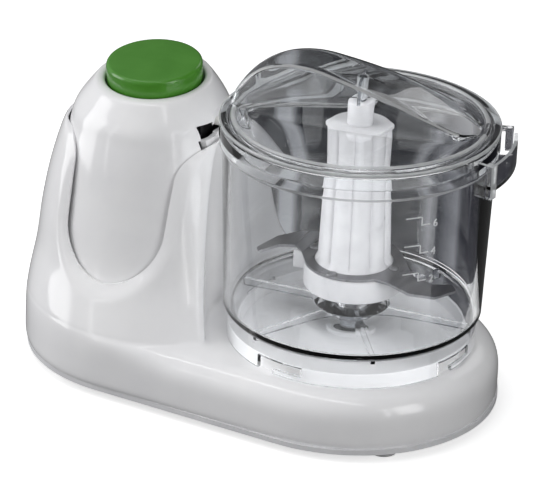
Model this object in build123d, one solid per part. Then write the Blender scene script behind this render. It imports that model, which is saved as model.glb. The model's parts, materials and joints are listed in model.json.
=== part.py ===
# Mini chopper (small food processor): motor tower, belt drive in the base,
# clear bowl with a bayonet, clear arched lid, blade unit and a sprung top button.
# Millimetres, +Z up. The table is z = 0. Every piece is drawn about the bowl axis,
# then moved so that the origin is the bottom centre of the whole object.
from build123d import *
from math import acos, cos, degrees, hypot, radians, sin
import os

# ---- driving dimensions ----
bowl_top_r = 63.6            # bowl outside, below its collar
bowl_rim = 139.0             # height of the bowl's rim

foot_height = 4.0
foot_r = 7.0
foot_edge_r = 1.2
foot_stem_r = 2.6            # snaps through the base plate
screw_r = 1.5
screw_head_r = 3.2
plate_thickness = 2.5
plate_inset = 1.0            # base plate edge set in from the shell's side
wall = 2.6                   # housing walls
fit_gap = 0.4                # between a housing and what nests in it
turn_gap = 0.6               # beside anything that turns or slides past
running_gap = 0.05           # shaft in bush, radial

deck_height = 31.5           # top of the base under the bowl
deck_shoulder_r = 12.0       # soft edge round the deck
bottom_edge_r = 3.0
tower_end_r = 71.0           # base plan: round end under the tower
tower_end_behind = 28.0      # its centre, behind the hollow that clears the bowl
tower_lean = 12.0            # the tower's top stands this far behind that centre

cutout_r = 25.0              # U opening in the front and back of the outer shell
cutout_bottom = 53.0
cutout_forward = 6.0         # its middle, ahead of the tower's axis
cutout_flare_r = 14.0

button_r = 23.0
button_height = 8.0          # seen above the tower at rest
button_skirt = 6.0           # hidden below the tower's top
button_tilt = 6.5            # degrees, leaning to the front
button_travel = 3.5
stem_r = 4.0

bowl_draft = 2.8             # the bowl is this much narrower at its floor
bowl_floor = 47.0
bowl_floor_thickness = 2.4
bowl_wall = 2.3
collar_height = 10.5
collar_step = 1.2
skirt_step = 1.8
skirt_wall = 2.0
tube_wall = 2.3              # bowl's centre tube
tube_below_rim = 47.0
pocket_wall = 1.6
pocket_reach = 7.7           # out from the collar
pocket_below_rim = 2.0
pocket_height = 12.3
pocket_start = -8.0          # degrees, round the bowl from +X
pocket_angle = 35.0
lug_drop = 3.7               # the lug hangs this far below its pocket
bowl_turn = 15.0             # bayonet travel, degrees
lug_half_angle = 3.5

lid_thickness = 2.0
lid_plug_depth = 8.0         # lid's ring that drops into the bowl
ridge_angle = 18.0
ridge_height = 27.4
lid_pin_r = 1.7

hub_bottom = 57.3
blade_plane = 68.7
hub_disc_r = 23.5
column_bottom_r = 17.0
column_top_r = 15.0
flutes = 12
spigot_r = 6.0
spigot_height = 11.4
blade_thickness = 1.3
blade_tip_gap = 7.5          # from the blade's tip to the bowl's wall
blade_droop = 12.0           # degrees that each blade's arm bends down
rivet_r = 1.6
rivet_ring = 20.8

spindle_r = 5.0
bush_wall = 3.0
coupler_height = 12.0

belt_bottom = 13.5
belt_height = 6.0
belt_thickness = 1.6
motor_pulley_r = 9.0
drive_pulley_r = 30.0
flange_thickness = 1.5
flange_lip = 2.0

motor_r = 28.0
motor_bottom = 40.0
motor_shaft_r = 2.5
bracket_thickness = 2.0
motor_post_r = 4.5
motor_post_ring = 36.0       # motor posts stand on this radius

interlock_r = 2.0
gland_r = 6.0
gland_bore_r = 3.6
gland_angle = 120.0          # round the tower end, from +X
gland_z = 18.0

# ---- worked out ----
plate_top = foot_height + plate_thickness
belt_top = belt_bottom + belt_height
bowl_bottom_r = bowl_top_r - bowl_draft
bowl_inside_top = bowl_top_r - bowl_wall
collar_r = bowl_top_r + collar_step
collar_bottom = bowl_rim - collar_height
skirt_r = bowl_bottom_r - skirt_step
skirt_inside = skirt_r - skirt_wall
bowl_end_r = skirt_r + deck_shoulder_r + 1.0     # base plan: round end under the bowl
pocket_r = collar_r + pocket_reach
pocket_top = bowl_rim - pocket_below_rim
pocket_bottom = pocket_top - pocket_height
lug_bottom = pocket_bottom - lug_drop
recess_r = pocket_r - 2.5                        # hollow in the tower's side that clears the bowl
notch_r = pocket_r + 3.0                         # deeper notch in it that clears the pocket
tube_r = spindle_r + 2.2 + tube_wall
tube_top = bowl_rim - tube_below_rim
hub_bore_r = tube_r + 2.0
column_top = bowl_rim - fit_gap
spigot_top = column_top + spigot_height
blade_tip_r = bowl_bottom_r - bowl_wall - blade_tip_gap
coupler_r = spindle_r + 1.8                      # over the corners of its six sides
coupler_bottom = tube_top + 4.0
coupler_top = coupler_bottom + coupler_height
bearing_hole_r = spindle_r + bush_wall

tower_end_x = -(recess_r + tower_end_behind)
tower_x = tower_end_x - tower_lean
cutout_x = tower_x + cutout_forward
shell_top = lug_bottom - 4.0                     # top edge of the outer shell's wings
shell_top_r = button_r + 19.0
tower_top = shell_top + 25.0                     # of the inner tower, before the button is let in
button_centre_z = tower_top + 4.0                # centre of the button's top face
interlock_z = lug_bottom + 1.6
ledge_z = cutout_bottom - 8.0                    # the inner tower stands on the shell's ledge

lid_r = collar_r + 0.2
lid_plate_bottom = bowl_rim + 0.2
lid_plate_top = lid_plate_bottom + lid_thickness
lid_roof = lid_plate_top + 0.74 * ridge_height   # underside of the arch over the hub

button_rim = -button_height                      # along the button's axis, from its top
button_skirt_end = button_rim - button_skirt
well_floor = button_skirt_end - button_travel - 1.5
well_floor_under = well_floor - 2.5
switch_top = well_floor_under - 8.5
switch_height = 12.0
plunger_sunk = 1.2
plunger_proud = 3.0
motor_top = button_centre_z + switch_top - switch_height - 14.0

half_length_low = tower_end_x - tower_end_r
bowl_x = -(half_length_low + pocket_r) / 2       # origin at the middle of the length

boss_ring = bowl_end_r - 13.0
boss_places = [(0.58 * boss_ring, y * 0.81 * boss_ring) for y in (-1, 1)]
boss_places += [(-0.75 * boss_ring, y * 0.98 * boss_ring) for y in (-1, 1)]
boss_places += [(tower_end_x - 0.65 * tower_end_r, y * 0.65 * tower_end_r) for y in (-1, 1)]
foot_places = [(0.57 * bowl_end_r, y * 0.61 * bowl_end_r) for y in (-1, 1)]
foot_places += [(tower_end_x - 0.34 * tower_end_r, y * 0.76 * tower_end_r) for y in (-1, 1)]


# ---- helpers ----
def disc(radius, low, high, x=0.0, y=0.0):
    return Pos(x, y, (low + high) / 2) * Cylinder(radius, high - low)


def tube(outer, inner, low, high, x=0.0, y=0.0):
    return disc(outer, low, high, x, y) - disc(inner, low - 1, high + 1, x, y)


def sector(outer, inner, start, end, low, high):
    """Piece of a ring about the bowl axis, between two angles in degrees."""
    wedge = Cylinder(outer, high - low, arc_size=end - start, align=(Align.NONE, Align.NONE, Align.MIN))
    return Rot(0, 0, start) * Pos(0, 0, low) * wedge - disc(inner, low - 1, high + 1)


def block(x0, x1, y0, y1, z0, z1):
    middle = Pos((x0 + x1) / 2, (y0 + y1) / 2, (z0 + z1) / 2)
    return middle * Box(x1 - x0, y1 - y0, z1 - z0)


def around(count, shape, start=0.0):
    return [Rot(0, 0, start + 360 * i / count) * shape for i in range(count)]


def loop_face(r_a, x_a, r_b, x_b):
    """Two circles on the X axis joined by their outer tangents."""
    lean = (r_b - r_a) / (x_b - x_a)
    up = (1 - lean * lean) ** 0.5
    a_top = (x_a - r_a * lean, r_a * up)
    b_top = (x_b - r_b * lean, r_b * up)
    a_low = (a_top[0], -a_top[1])
    b_low = (b_top[0], -b_top[1])
    outline = Line(a_top, b_top) + ThreePointArc(b_top, (x_b + r_b, 0), b_low)
    outline += Line(b_low, a_low) + ThreePointArc(a_low, (x_a - r_a, 0), a_top)
    return make_face(outline)


def prism(face, low, high):
    return extrude(Pos(0, 0, low) * face, high - low)


def hexagon(corner_r, low, high):
    return prism(RegularPolygon(corner_r, 6), low, high)


def spun(points):
    """Turned piece: outline given as (radius, height) corners."""
    outline = Polyline([(r, 0, z) for r, z in points], close=True)
    return revolve(make_face(outline), Axis.Z)


def tower_stations(shrink):
    """From the base's side up to the outer shell's top edge, then the inner tower's dome."""
    rise = shell_top - plate_top
    lean = tower_x - tower_end_x
    shares = [(0.0, 0.0, 1.0), (0.2, 0.04, 0.97), (0.31, 0.36, 0.79), (0.44, 0.7, 0.56)]
    shares += [(0.6, 0.86, 0.43), (0.78, 0.94, 0.27), (0.9, 0.98, 0.13), (1.0, 1.0, 0.0)]
    spread = tower_end_r - shell_top_r
    lower = [
        (plate_top + rise * up, tower_end_x + lean * over, shell_top_r + spread * wide - shrink)
        for up, over, wide in shares
    ]
    nest = wall + fit_gap
    dome = [(0.25, 0.955), (0.52, 0.87), (0.78, 0.765), (1.0, 0.62)]
    dome_rise = tower_top - shell_top
    dome_r = shell_top_r - nest
    upper = [(shell_top + dome_rise * up, tower_x, dome_r * share + nest - shrink) for up, share in dome]
    return lower + upper


def tower_solid(shrink):
    """Smooth upright body of the tower, its wall set in by shrink."""
    return loft([Pos(x, 0, z) * Circle(r) for z, x, r in tower_stations(shrink)])


def on_button(shape):
    """From the button's own axis, with z = 0 at its top face, to its place."""
    return Pos(tower_x, 0, button_centre_z) * Rot(button_tilt, 0, 0) * shape


def base_outline(inset):
    return loop_face(tower_end_r - inset, tower_end_x, bowl_end_r - inset, 0.0)


# ---- housing ----
def cutout_prism(grow):
    """U shape seen from the front, flaring outwards at its top."""
    half = cutout_r + grow
    low = cutout_bottom + cutout_r
    flare = shell_top - cutout_flare_r
    side = cutout_x + half
    other = cutout_x - half
    far = 80.0
    outline = ThreePointArc((other, low), (cutout_x, low - half), (side, low))
    outline += Line((side, low), (side, flare))
    slant = cutout_flare_r * (1 - cos(radians(45)))
    outline += ThreePointArc(
        (side, flare), (side + slant, flare + cutout_flare_r - slant), (side + cutout_flare_r, shell_top)
    )
    outline += Polyline(
        (side + cutout_flare_r, shell_top), (side + far, shell_top), (side + far, shell_top + 20),
        (other - far, shell_top + 20), (other - far, shell_top), (other - cutout_flare_r, shell_top)
    )
    outline += ThreePointArc(
        (other - cutout_flare_r, shell_top), (other - slant, flare + cutout_flare_r - slant), (other, flare)
    )
    outline += Line((other, flare), (other, low))
    face = make_face(outline)
    return extrude(Plane.XZ * face, 90, both=True)


def outer_shell():
    body = prism(base_outline(0), plate_top, deck_height)
    body = fillet(body.edges().group_by(Axis.Z)[-1], deck_shoulder_r)
    body = fillet(body.edges().group_by(Axis.Z)[0], bottom_edge_r)
    body += tower_solid(0) - disc(200, shell_top, tower_top + 10)
    body -= disc(recess_r, deck_height, shell_top + 30)
    room = prism(base_outline(wall), plate_top - 1, deck_height - wall)
    room = fillet(room.edges().group_by(Axis.Z)[-1], deck_shoulder_r - wall)
    tower_room = tower_solid(wall) + disc(tower_end_r - wall, plate_top - 1, plate_top, tower_end_x)
    tower_room -= disc(recess_r + wall, deck_height - wall, shell_top + 30)
    body -= room + tower_room
    body -= cutout_prism(0)
    ledge = tower_solid(wall / 2) & disc(120, ledge_z - 3, ledge_z, tower_end_x)
    ledge -= disc(recess_r + wall / 2, 0, shell_top)
    ledge -= disc(motor_post_ring + 6, 0, shell_top, tower_x)
    body += ledge
    for x, y in boss_places:
        top = deck_height - wall if x > tower_end_x else deck_height - 2
        body += disc(screw_r + 3, plate_top, top, x, y) - disc(screw_r, plate_top - 1, top - 6, x, y)
    body += tube(bearing_hole_r + 3.5, bearing_hole_r, deck_height - 8, deck_height + 3.5)
    body -= disc(bearing_hole_r, deck_height - wall - 1, deck_height + 1)
    ring_r = skirt_inside - turn_gap
    lug_low = deck_height + 3.2
    body += tube(ring_r, ring_r - 1.6, deck_height - 1, lug_low + 3.8)
    lug = sector(skirt_r - 0.8, ring_r - 1, -lug_half_angle, lug_half_angle, lug_low, lug_low + 3)
    body += around(4, lug)
    body -= gland_cut()
    return body


def at_gland(shape):
    """From a frame with z outwards along the gland to its place in the side."""
    centre = Pos(tower_end_x, 0, gland_z) * Rot(0, 0, gland_angle)
    return centre * Pos(tower_end_r, 0, 0) * Rot(0, 90, 0) * shape


def gland_cut():
    return at_gland(Cylinder(gland_r, 40))


def cord_gland():
    sleeve = at_gland(disc(gland_r, -9, 1.5))
    sleeve += at_gland(disc(gland_r + 2, -9, -6))
    collar = at_gland(disc(gland_r + 2, 0.4, 3))
    return sleeve + collar - at_gland(Cylinder(gland_bore_r, 60))


def motor_tower():
    body = tower_solid(wall + fit_gap)
    body -= disc(200, -10, ledge_z)
    body -= disc(recess_r + wall + fit_gap, 0, shell_top)
    room = tower_solid(2 * wall + fit_gap)
    room -= disc(recess_r + 2 * wall + fit_gap, 0, tower_top + 20)
    room -= disc(notch_r + wall, shell_top - wall, tower_top + 20)
    body -= sector(notch_r, recess_r - 20, 172, 232, shell_top, tower_top + 10)
    room -= on_button(Pos(0, 0, 100 + well_floor_under) * Box(200, 200, 200))
    body -= room
    body -= on_button(disc(200, button_rim, 60))
    body -= on_button(disc(button_r + turn_gap, well_floor, 60))
    body -= on_button(disc(stem_r + 0.25, well_floor_under - 10, 60))
    for side in (-1, 1):
        body += on_button(disc(3, switch_top, well_floor_under + 1, 9 * side))
        body -= on_button(disc(1.0, switch_top - 1, switch_top + 6, 9 * side))
    plunger_hole = Pos(tower_x / 2, 0, interlock_z) * Rot(0, 90, 0) * Cylinder(interlock_r + 0.25, -tower_x)
    body -= plunger_hole
    wall_x = -(notch_r + wall)
    for side in (-1, 1):
        low = min(4 * side, 6 * side)
        body += block(wall_x - 2, wall_x + 1, low, low + 2, interlock_z - 8, interlock_z - 3)
    return body


def interlock_switch():
    face = -(notch_r + wall) - 2
    body = block(face - 10, face, -7, 7, interlock_z - 10, interlock_z + 0.4)
    half = interlock_r + 1
    return body - block(face - 6, face + 1, -half, half, interlock_z - half, interlock_z + 4)


def interlock_plunger():
    tip = -(pocket_r + turn_gap)
    rod = Pos(tip - 9, 0, interlock_z) * Rot(0, 90, 0)
    return rod * disc(interlock_r, 2.2, 9)


def base_plate():
    body = prism(base_outline(plate_inset), foot_height, plate_top)
    for x, y in boss_places:
        body -= disc(screw_r + 0.3, 0, 20, x, y)
        body -= disc(screw_head_r + 0.2, 0, foot_height + 1.5, x, y)
    for x, y in foot_places:
        body -= disc(foot_stem_r, 0, 20, x, y)
    body += tube(bearing_hole_r + 3, bearing_hole_r, plate_top - 1, plate_top + 5)
    body -= disc(bearing_hole_r, plate_top, plate_top + 6)
    for post in motor_posts(motor_bottom - bracket_thickness, motor_post_r):
        body += post
    for post in motor_posts(motor_bottom, 1.3):
        body -= post
    return body


def motor_posts(top, radius):
    low = plate_top if radius == motor_post_r else plate_top + 12
    post = disc(radius, low, top, motor_post_ring)
    return [Pos(tower_x, 0, 0) * Rot(0, 0, 60 + 120 * i) * post for i in range(3)]


def feet():
    body = []
    for x, y in foot_places:
        pad = disc(foot_r, 0, foot_height, x, y)
        pad = fillet(pad.edges().group_by(Axis.Z)[0], foot_edge_r)
        pad += disc(foot_stem_r, foot_height - 0.5, plate_top + 1.5, x, y)
        body.append(pad + disc(foot_stem_r + 0.8, plate_top, plate_top + 1.5, x, y))
    return body


def base_screws():
    screws = []
    for x, y in boss_places:
        screw = disc(screw_head_r, foot_height + 0.1, foot_height + 1.5, x, y)
        screw += disc(screw_r, foot_height + 1, plate_top + 10, x, y)
        screws.append(screw - Pos(x, y, foot_height) * Box(0.8, 4, 1.2))
    return screws


# ---- motor, fixed pieces ----
def motor_bracket():
    low = motor_bottom - bracket_thickness
    body = disc(motor_post_ring + 7, low, motor_bottom, tower_x)
    body -= disc(9, 0, 60, tower_x)
    for hole in motor_posts(motor_bottom + 2, 1.8):
        body -= hole
    for i in range(3):
        arc = Rot(0, 0, 120 * i) * Pos(motor_post_ring + 14, 0, 0)
        body -= Pos(tower_x, 0, 0) * arc * disc(14, 0, 60)
    return body - disc(recess_r + wall + turn_gap, 0, 60)


def bracket_screws():
    heads = []
    head_places = motor_posts(motor_bottom + 2.2, screw_head_r + 0.2)
    for head, shank in zip(head_places, motor_posts(motor_bottom + 1, 1.3)):
        head -= disc(60, 0, motor_bottom, tower_x)
        shank -= disc(60, 0, motor_bottom - 14, tower_x)
        heads.append(head + shank)
    return heads


def motor_can():
    body = tube(motor_r, motor_r - 1.5, motor_bottom, motor_top - 3, tower_x)
    body += tube(motor_r, 6, motor_bottom, motor_bottom + 1.5, tower_x)
    for i in range(4):
        slot = Rot(0, 0, 45 + 90 * i) * Pos(motor_r, 0, motor_bottom + 8) * Box(8, 14, 8)
        body -= Pos(tower_x, 0, 0) * slot
    return body


def motor_end_cap():
    low = motor_top - 3
    body = disc(motor_r, low, motor_top, tower_x) + disc(9, motor_top, motor_top + 6, tower_x)
    body -= disc(5, low - 1, motor_top + 4.5, tower_x)
    for side in (-1, 1):
        body += Pos(tower_x, 14 * side, motor_top + 2) * Box(7, 12, 6)
        body -= Pos(tower_x, 12 * side, low - 2) * Box(4.6, 12.6, 4)
    return body


def motor_bearings():
    lower = tube(6, motor_shaft_r + running_gap, motor_bottom, motor_bottom + 5, tower_x)
    upper = tube(5, motor_shaft_r + running_gap, motor_top - 2, motor_top + 4, tower_x)
    return [lower, upper]


def stator_magnets():
    ring = tube(motor_r - 1.5, motor_r - 9, motor_bottom + 14, motor_top - 12, tower_x)
    ring -= block(tower_x - 5, tower_x + 5, -motor_r, motor_r, motor_bottom, motor_top)
    return ring.solids()


def motor_brushes():
    return [Pos(tower_x, 9.4 * side, motor_top - 6.5) * Box(4, 5, 4) for side in (-1, 1)]


# ---- motor, turning pieces ----
def armature():
    low = motor_bottom + 16
    high = motor_top - 14
    body = tube(motor_r - 10.5, motor_shaft_r, low, high, tower_x)
    for slot in around(8, block(10.5, 19.5, -1.2, 1.2, low - 1, high + 1)):
        body -= Pos(tower_x, 0, 0) * slot
    return body


def commutator():
    return tube(6.5, motor_shaft_r, motor_top - 10, motor_top - 4, tower_x)


def motor_shaft():
    return disc(motor_shaft_r, belt_bottom - 2.5, motor_top + 4, tower_x)


def cooling_fan():
    low = belt_top + flange_thickness + 4
    body = tube(8, motor_shaft_r, low, low + 8, tower_x)
    body += tube(24, 7, low + 6.5, low + 8, tower_x)
    for i in range(9):
        vane = Rot(0, 0, 40 * i) * Pos(15.5, 0, low + 4) * Box(16, 1.4, 7)
        body += Pos(tower_x, 0, 0) * vane
    return body


def pulley(radius, bore, x, web):
    low = belt_bottom - flange_thickness
    high = belt_top + flange_thickness
    lip = radius + flange_lip
    body = disc(radius, low, high, x)
    body += disc(lip, low, belt_bottom - 0.2, x)
    body += disc(lip, belt_top + 0.2, high, x)
    if web:
        body -= tube(radius - 5, bore + 6, low - 1, belt_bottom + 1.5, x)
        body -= tube(radius - 5, bore + 6, belt_top - 1.5, high + 1, x)
    return body - disc(bore, 0, 100, x)


def motor_pulley():
    return pulley(motor_pulley_r, motor_shaft_r, tower_x, False)


def drive_belt():
    inner_r = (motor_pulley_r + 0.15, drive_pulley_r + 0.15)
    inner = loop_face(inner_r[0], tower_x, inner_r[1], 0.0)
    outer = loop_face(inner_r[0] + belt_thickness, tower_x, inner_r[1] + belt_thickness, 0.0)
    return prism(outer, belt_bottom, belt_top) - prism(inner, 0, 60)


# ---- spindle ----
def drive_pulley():
    return pulley(drive_pulley_r, spindle_r, 0.0, True)


def drive_spindle():
    return disc(spindle_r, plate_top + 0.8, coupler_top - 2)


def drive_coupler():
    return hexagon(coupler_r, coupler_bottom, coupler_top) - disc(spindle_r, 0, coupler_top - 2)


def retaining_clip():
    low = belt_top + flange_thickness
    return tube(spindle_r + 2, spindle_r, low, low + 1)


def lower_bush():
    return tube(bearing_hole_r, spindle_r + running_gap, plate_top, plate_top + 5)


def upper_bush():
    return tube(bearing_hole_r, spindle_r + running_gap, deck_height - 8, deck_height + 0.5)


def spindle_seal():
    return tube(bearing_hole_r, spindle_r + 0.1, deck_height + 0.5, deck_height + 3.5)


# ---- blade unit ----
def blade_hub():
    socket_top = coupler_top + 0.5
    body = spun([
        (hub_bore_r, hub_bottom), (hub_disc_r, hub_bottom), (hub_disc_r, blade_plane),
        (column_bottom_r, blade_plane), (column_top_r, column_top), (0, column_top),
        (0, socket_top), (hub_bore_r, socket_top)
    ])
    body += disc(hub_bore_r + 0.5, tube_top + 1.5, socket_top) - hexagon(coupler_r + 0.25, 0, socket_top)
    rib_middle = (blade_plane + column_top) / 2
    rib = Pos(column_top_r + 0.3, 0, rib_middle) * Box(2.4, 1.6, column_top - blade_plane - 0.01)
    body += around(flutes, rib)
    plate = Rot(0, 0, 7) * RectangleRounded(33, 29, 9)
    body += prism(plate, column_top - 1.2, column_top + 0.6)
    body += disc(spigot_r, column_top, spigot_top) - disc(lid_pin_r + 0.4, spigot_top - 8, spigot_top + 1)
    for x, y in rivet_places():
        body -= disc(rivet_r, blade_plane - 5, blade_plane + 5, x, y)
    fin = block(hub_disc_r - 2, hub_disc_r + 7, -0.9, 0.9, hub_bottom + 2, blade_plane - 1)
    return body + around(2, fin, 7)


def rivet_places():
    return [(rivet_ring * cos(radians(a)), rivet_ring * sin(radians(a))) for a in (0, 88, 180, 268)]


def blade(turn, low):
    """Flat half ring on the hub's disc with one swept arm, its tip bent down."""
    high = low + blade_thickness
    ring = sector(hub_disc_r, column_bottom_r + 1.6, -60, 120, low, high)
    arm = Polyline((16, -17), (34, -20), (blade_tip_r - 6, -14), (blade_tip_r, -1), (blade_tip_r - 3, 3),
                   (40, -4), (31, -3.5), (26, 2), (22, 9), (17, 6), close=True)
    plate = prism(make_face(arm), low, high)
    pivot = Pos(hub_disc_r + 0.3, 0, low)
    bent = pivot * Rot(0, blade_droop, 0) * pivot.inverse() * plate
    bent -= disc(200, low - 60, low - 40)
    keep = block(hub_disc_r + 0.3, 90, -60, 60, low - 40, high + 2)
    body = ring + (bent & keep) + (plate & block(0, hub_disc_r + 0.4, -60, 60, low, high))
    body -= disc(column_bottom_r + 1.6, 0, 200)
    body = Rot(0, 0, turn) * body
    for x, y in rivet_places():
        body -= disc(rivet_r, low - 5, high + 5, x, y)
    return body


def blade_right():
    return blade(7.0, blade_plane)


def blade_left():
    return blade(187.0, blade_plane)


def blade_rivets():
    rivets = []
    for x, y in rivet_places():
        head = disc(2.6, blade_plane + blade_thickness, blade_plane + blade_thickness + 0.9, x, y)
        rivets.append(head + disc(rivet_r, blade_plane - 5, blade_plane + blade_thickness + 0.5, x, y))
    return rivets


# ---- bowl ----
def bowl():
    low = deck_height + 0.15
    inside_bottom = bowl_bottom_r - bowl_wall
    body = spun([
        (skirt_inside, low), (skirt_r, low), (skirt_r, bowl_floor - 1), (bowl_bottom_r, bowl_floor + 0.8),
        (bowl_top_r, collar_bottom), (collar_r, collar_bottom), (collar_r, bowl_rim),
        (bowl_inside_top, bowl_rim),
        (inside_bottom, bowl_floor + bowl_floor_thickness), (tube_r + 8, bowl_floor + bowl_floor_thickness),
        (tube_r, bowl_floor + 5), (tube_r, tube_top), (tube_r - tube_wall, tube_top),
        (tube_r - tube_wall, bowl_floor - 4), (tube_r, bowl_floor - 4), (tube_r, bowl_floor),
        (skirt_inside, bowl_floor)
    ])
    rib = block(tube_r - 0.5, skirt_inside + 0.5, -1, 1, bowl_floor - 3, bowl_floor + 0.5)
    body += around(6, rib, 7)
    body += Rot(0, 0, pocket_start) * rim_pocket()
    body += Rot(0, 0, 180) * rim_lug()
    span = bowl_turn + 2 * lug_half_angle + 2
    start = -bowl_turn - lug_half_angle - 1
    entry_end = start + 2 * lug_half_angle + 2
    window = sector(skirt_r + 1, skirt_inside - 1, start, start + span, deck_height + 2.4, deck_height + 7)
    window += sector(skirt_r + 1, skirt_inside - 1, start, entry_end, deck_height - 1, deck_height + 7)
    for cut in around(4, window):
        body -= cut
    return body


def rim_pocket():
    """Takes the lid's tab, on the side away from the tower."""
    outer = sector(pocket_r, pocket_r - pocket_wall, 0, pocket_angle, pocket_bottom, pocket_top)
    floor = sector(pocket_r, bowl_top_r - 0.6, 0, pocket_angle, pocket_bottom, pocket_bottom + pocket_wall)
    return outer + floor + rim_lug()


def rim_lug():
    """The one at the tower pushes the interlock."""
    end = block(bowl_top_r - 0.5, pocket_r - 0.3, 0, 2, lug_bottom, pocket_top)
    return end + sector(pocket_r, pocket_r - 4, 0, 3.5, lug_bottom, pocket_top)


def bowl_boss_ring():
    low = bowl_floor + 3.2
    high = hub_bottom - 0.5
    foot_of_ring = [(tube_r, low + 2.2), (tube_r + 2.5, low + 1.2), (tube_r + 4, low + 1.6)]
    return spun(foot_of_ring + [(tube_r + 6, high), (tube_r, high)])


# ---- lid ----
# Shares of the ridge's length along it, then shares of its height, or of its length across.
ridge_profile = [(-0.96, 0.12), (-0.8, 0.74), (-0.6, 0.965), (-0.37, 1.0), (-0.14, 0.89)]
ridge_profile += [(0.27, 0.61), (0.56, 0.35), (0.78, 0.135)]
ridge_plan = [(-0.8, 0.09), (-0.6, 0.18), (-0.37, 0.235), (0.0, 0.29), (0.3, 0.315), (0.56, 0.315)]
ridge_plan += [(0.78, 0.27)]


def ridge_solid(shrink):
    """Arched hollow of the lid: a side profile cut to a long leaf-shaped plan."""
    length = lid_r - 4.0
    low = lid_plate_bottom
    top = lid_plate_top
    heights = [(s * length, top + h * ridge_height - shrink) for s, h in ridge_profile]
    start = (-length + shrink, low - 1)
    finish = (length * 0.92 - shrink, low - 1)
    first = (start[0], top)
    last = (finish[0], top)
    line = Spline([first] + heights + [last])
    outline = line + Polyline(last, finish, start, first)
    side = extrude(Plane.XZ * make_face(outline), 40, both=True)
    right = [(s * length, w * length - shrink) for s, w in ridge_plan]
    left = [(x, -y) for x, y in right]
    leaf = Spline([(start[0], 2)] + right + [(finish[0], 6)])
    leaf += Line((finish[0], 6), (finish[0], -6))
    leaf += Spline([(start[0], -2)] + left + [(finish[0], -6)])
    leaf += Line((start[0], -2), (start[0], 2))
    return side & prism(make_face(leaf), low - 1, top + 60)


def lid():
    plug_r = bowl_inside_top - fit_gap
    plug_low = lid_plate_bottom - lid_plug_depth
    taper = lid_plug_depth * (bowl_inside_top - bowl_bottom_r + bowl_wall) / (bowl_rim - bowl_floor)
    body = disc(lid_r, lid_plate_bottom, lid_plate_top)
    plug_high = lid_plate_bottom + 0.5
    plug_end_r = plug_r - taper
    body += spun([
        (plug_end_r - 2, plug_low), (plug_end_r, plug_low), (plug_r, plug_high), (plug_r - 2, plug_high)
    ])
    ridge = Rot(0, 0, ridge_angle) * (ridge_solid(0) - disc(200, 0, lid_plate_bottom))
    hollow = Rot(0, 0, ridge_angle) * ridge_solid(lid_thickness)
    body += ridge
    body -= hollow & disc(plug_r - 2.5, 0, 300)
    cross_low = spigot_top + turn_gap
    cross = block(-10, 10, -0.8, 0.8, cross_low, lid_roof)
    cross += block(-0.8, 0.8, -8, 8, cross_low, lid_roof)
    body += Rot(0, 0, ridge_angle) * (cross + disc(4, cross_low, lid_roof))
    body -= disc(lid_pin_r, 0, lid_roof - 1)
    tab_end = pocket_r - pocket_wall - turn_gap
    tab = block(lid_r - 2, tab_end, -3.5, 0, lid_plate_bottom, lid_plate_top)
    tab += block(lid_r + 1.5, tab_end, -3.5, 0, pocket_bottom + 5, lid_plate_top)
    return body + Rot(0, 0, pocket_start + pocket_angle - 1) * tab


def lid_pin():
    return disc(lid_pin_r, spigot_top - 5, lid_roof - 1)


# ---- button ----
def button_cap():
    body = disc(button_r, button_skirt_end, 0) - disc(button_r - 2, button_skirt_end - 1, -2.5)
    body = fillet(body.edges().group_by(Axis.Z)[-1], 1.2)
    body += disc(stem_r + 2.5, -8, -2)
    body -= disc(stem_r, -9, -4)
    return on_button(body)


def button_stem():
    low = switch_top + plunger_proud + 0.3
    body = disc(stem_r, low, -4)
    body -= tube(stem_r + 1, stem_r - 0.8, well_floor_under - 1.4, well_floor_under - 0.3)
    return on_button(body)


def stem_clip():
    return on_button(tube(stem_r + 2, stem_r - 0.8, well_floor_under - 1.3, well_floor_under - 0.4))


def button_spring():
    """Coil round the stem, between the well's floor and the cap's socket."""
    low = well_floor + 0.45
    high = -8.45
    wire_r = 0.4
    path = Helix(pitch=(high - low) / 4, height=high - low, radius=stem_r + 1.2)
    start = path.position_at(0)
    profile = Plane(origin=start, z_dir=path.tangent_at(0)) * Circle(wire_r)
    return on_button(Pos(0, 0, low) * sweep(profile, path=path, is_frenet=True))


def main_switch():
    body = Pos(0, 0, switch_top - switch_height / 2) * Box(28, 14, switch_height)
    body -= Pos(0, 0, switch_top) * Box(9, 9, 2 * (plunger_sunk + button_travel + turn_gap))
    for side in (-1, 1):
        body -= disc(1.2, switch_top - 4, switch_top + 1, 9 * side)
        body += Pos(8 * side, 0, switch_top - switch_height - 3) * Box(1, 5, 7)
    return on_button(body)


def switch_plunger():
    return on_button(block(-3, 3, -3, 3, switch_top - plunger_sunk, switch_top + plunger_proud))


def write(name, shape):
    pieces = shape if isinstance(shape, (list, tuple)) else [shape]
    solids = [Pos(bowl_x, 0, 0) * s for piece in pieces for s in piece.solids()]
    export_step(Compound(children=solids) if len(solids) > 1 else solids[0], f"parts/{name}.step")


os.makedirs("parts", exist_ok=True)
for make in (
    outer_shell, motor_tower, base_plate, feet, base_screws, cord_gland, motor_bracket, bracket_screws,
    motor_can, motor_end_cap, motor_bearings, stator_magnets, motor_brushes, armature, commutator,
    motor_shaft, cooling_fan, motor_pulley, drive_belt, drive_pulley, drive_spindle, drive_coupler,
    retaining_clip, lower_bush, upper_bush, spindle_seal, blade_hub, blade_right, blade_left,
    blade_rivets, bowl, bowl_boss_ring, lid, lid_pin, button_cap, button_stem, stem_clip,
    button_spring, main_switch, switch_plunger, interlock_switch, interlock_plunger
):
    write(make.__name__, make())
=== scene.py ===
import json
from math import cos, sin, pi, radians, sqrt, atan2, hypot

import bmesh
import bpy
from mathutils import Matrix, Vector


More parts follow.
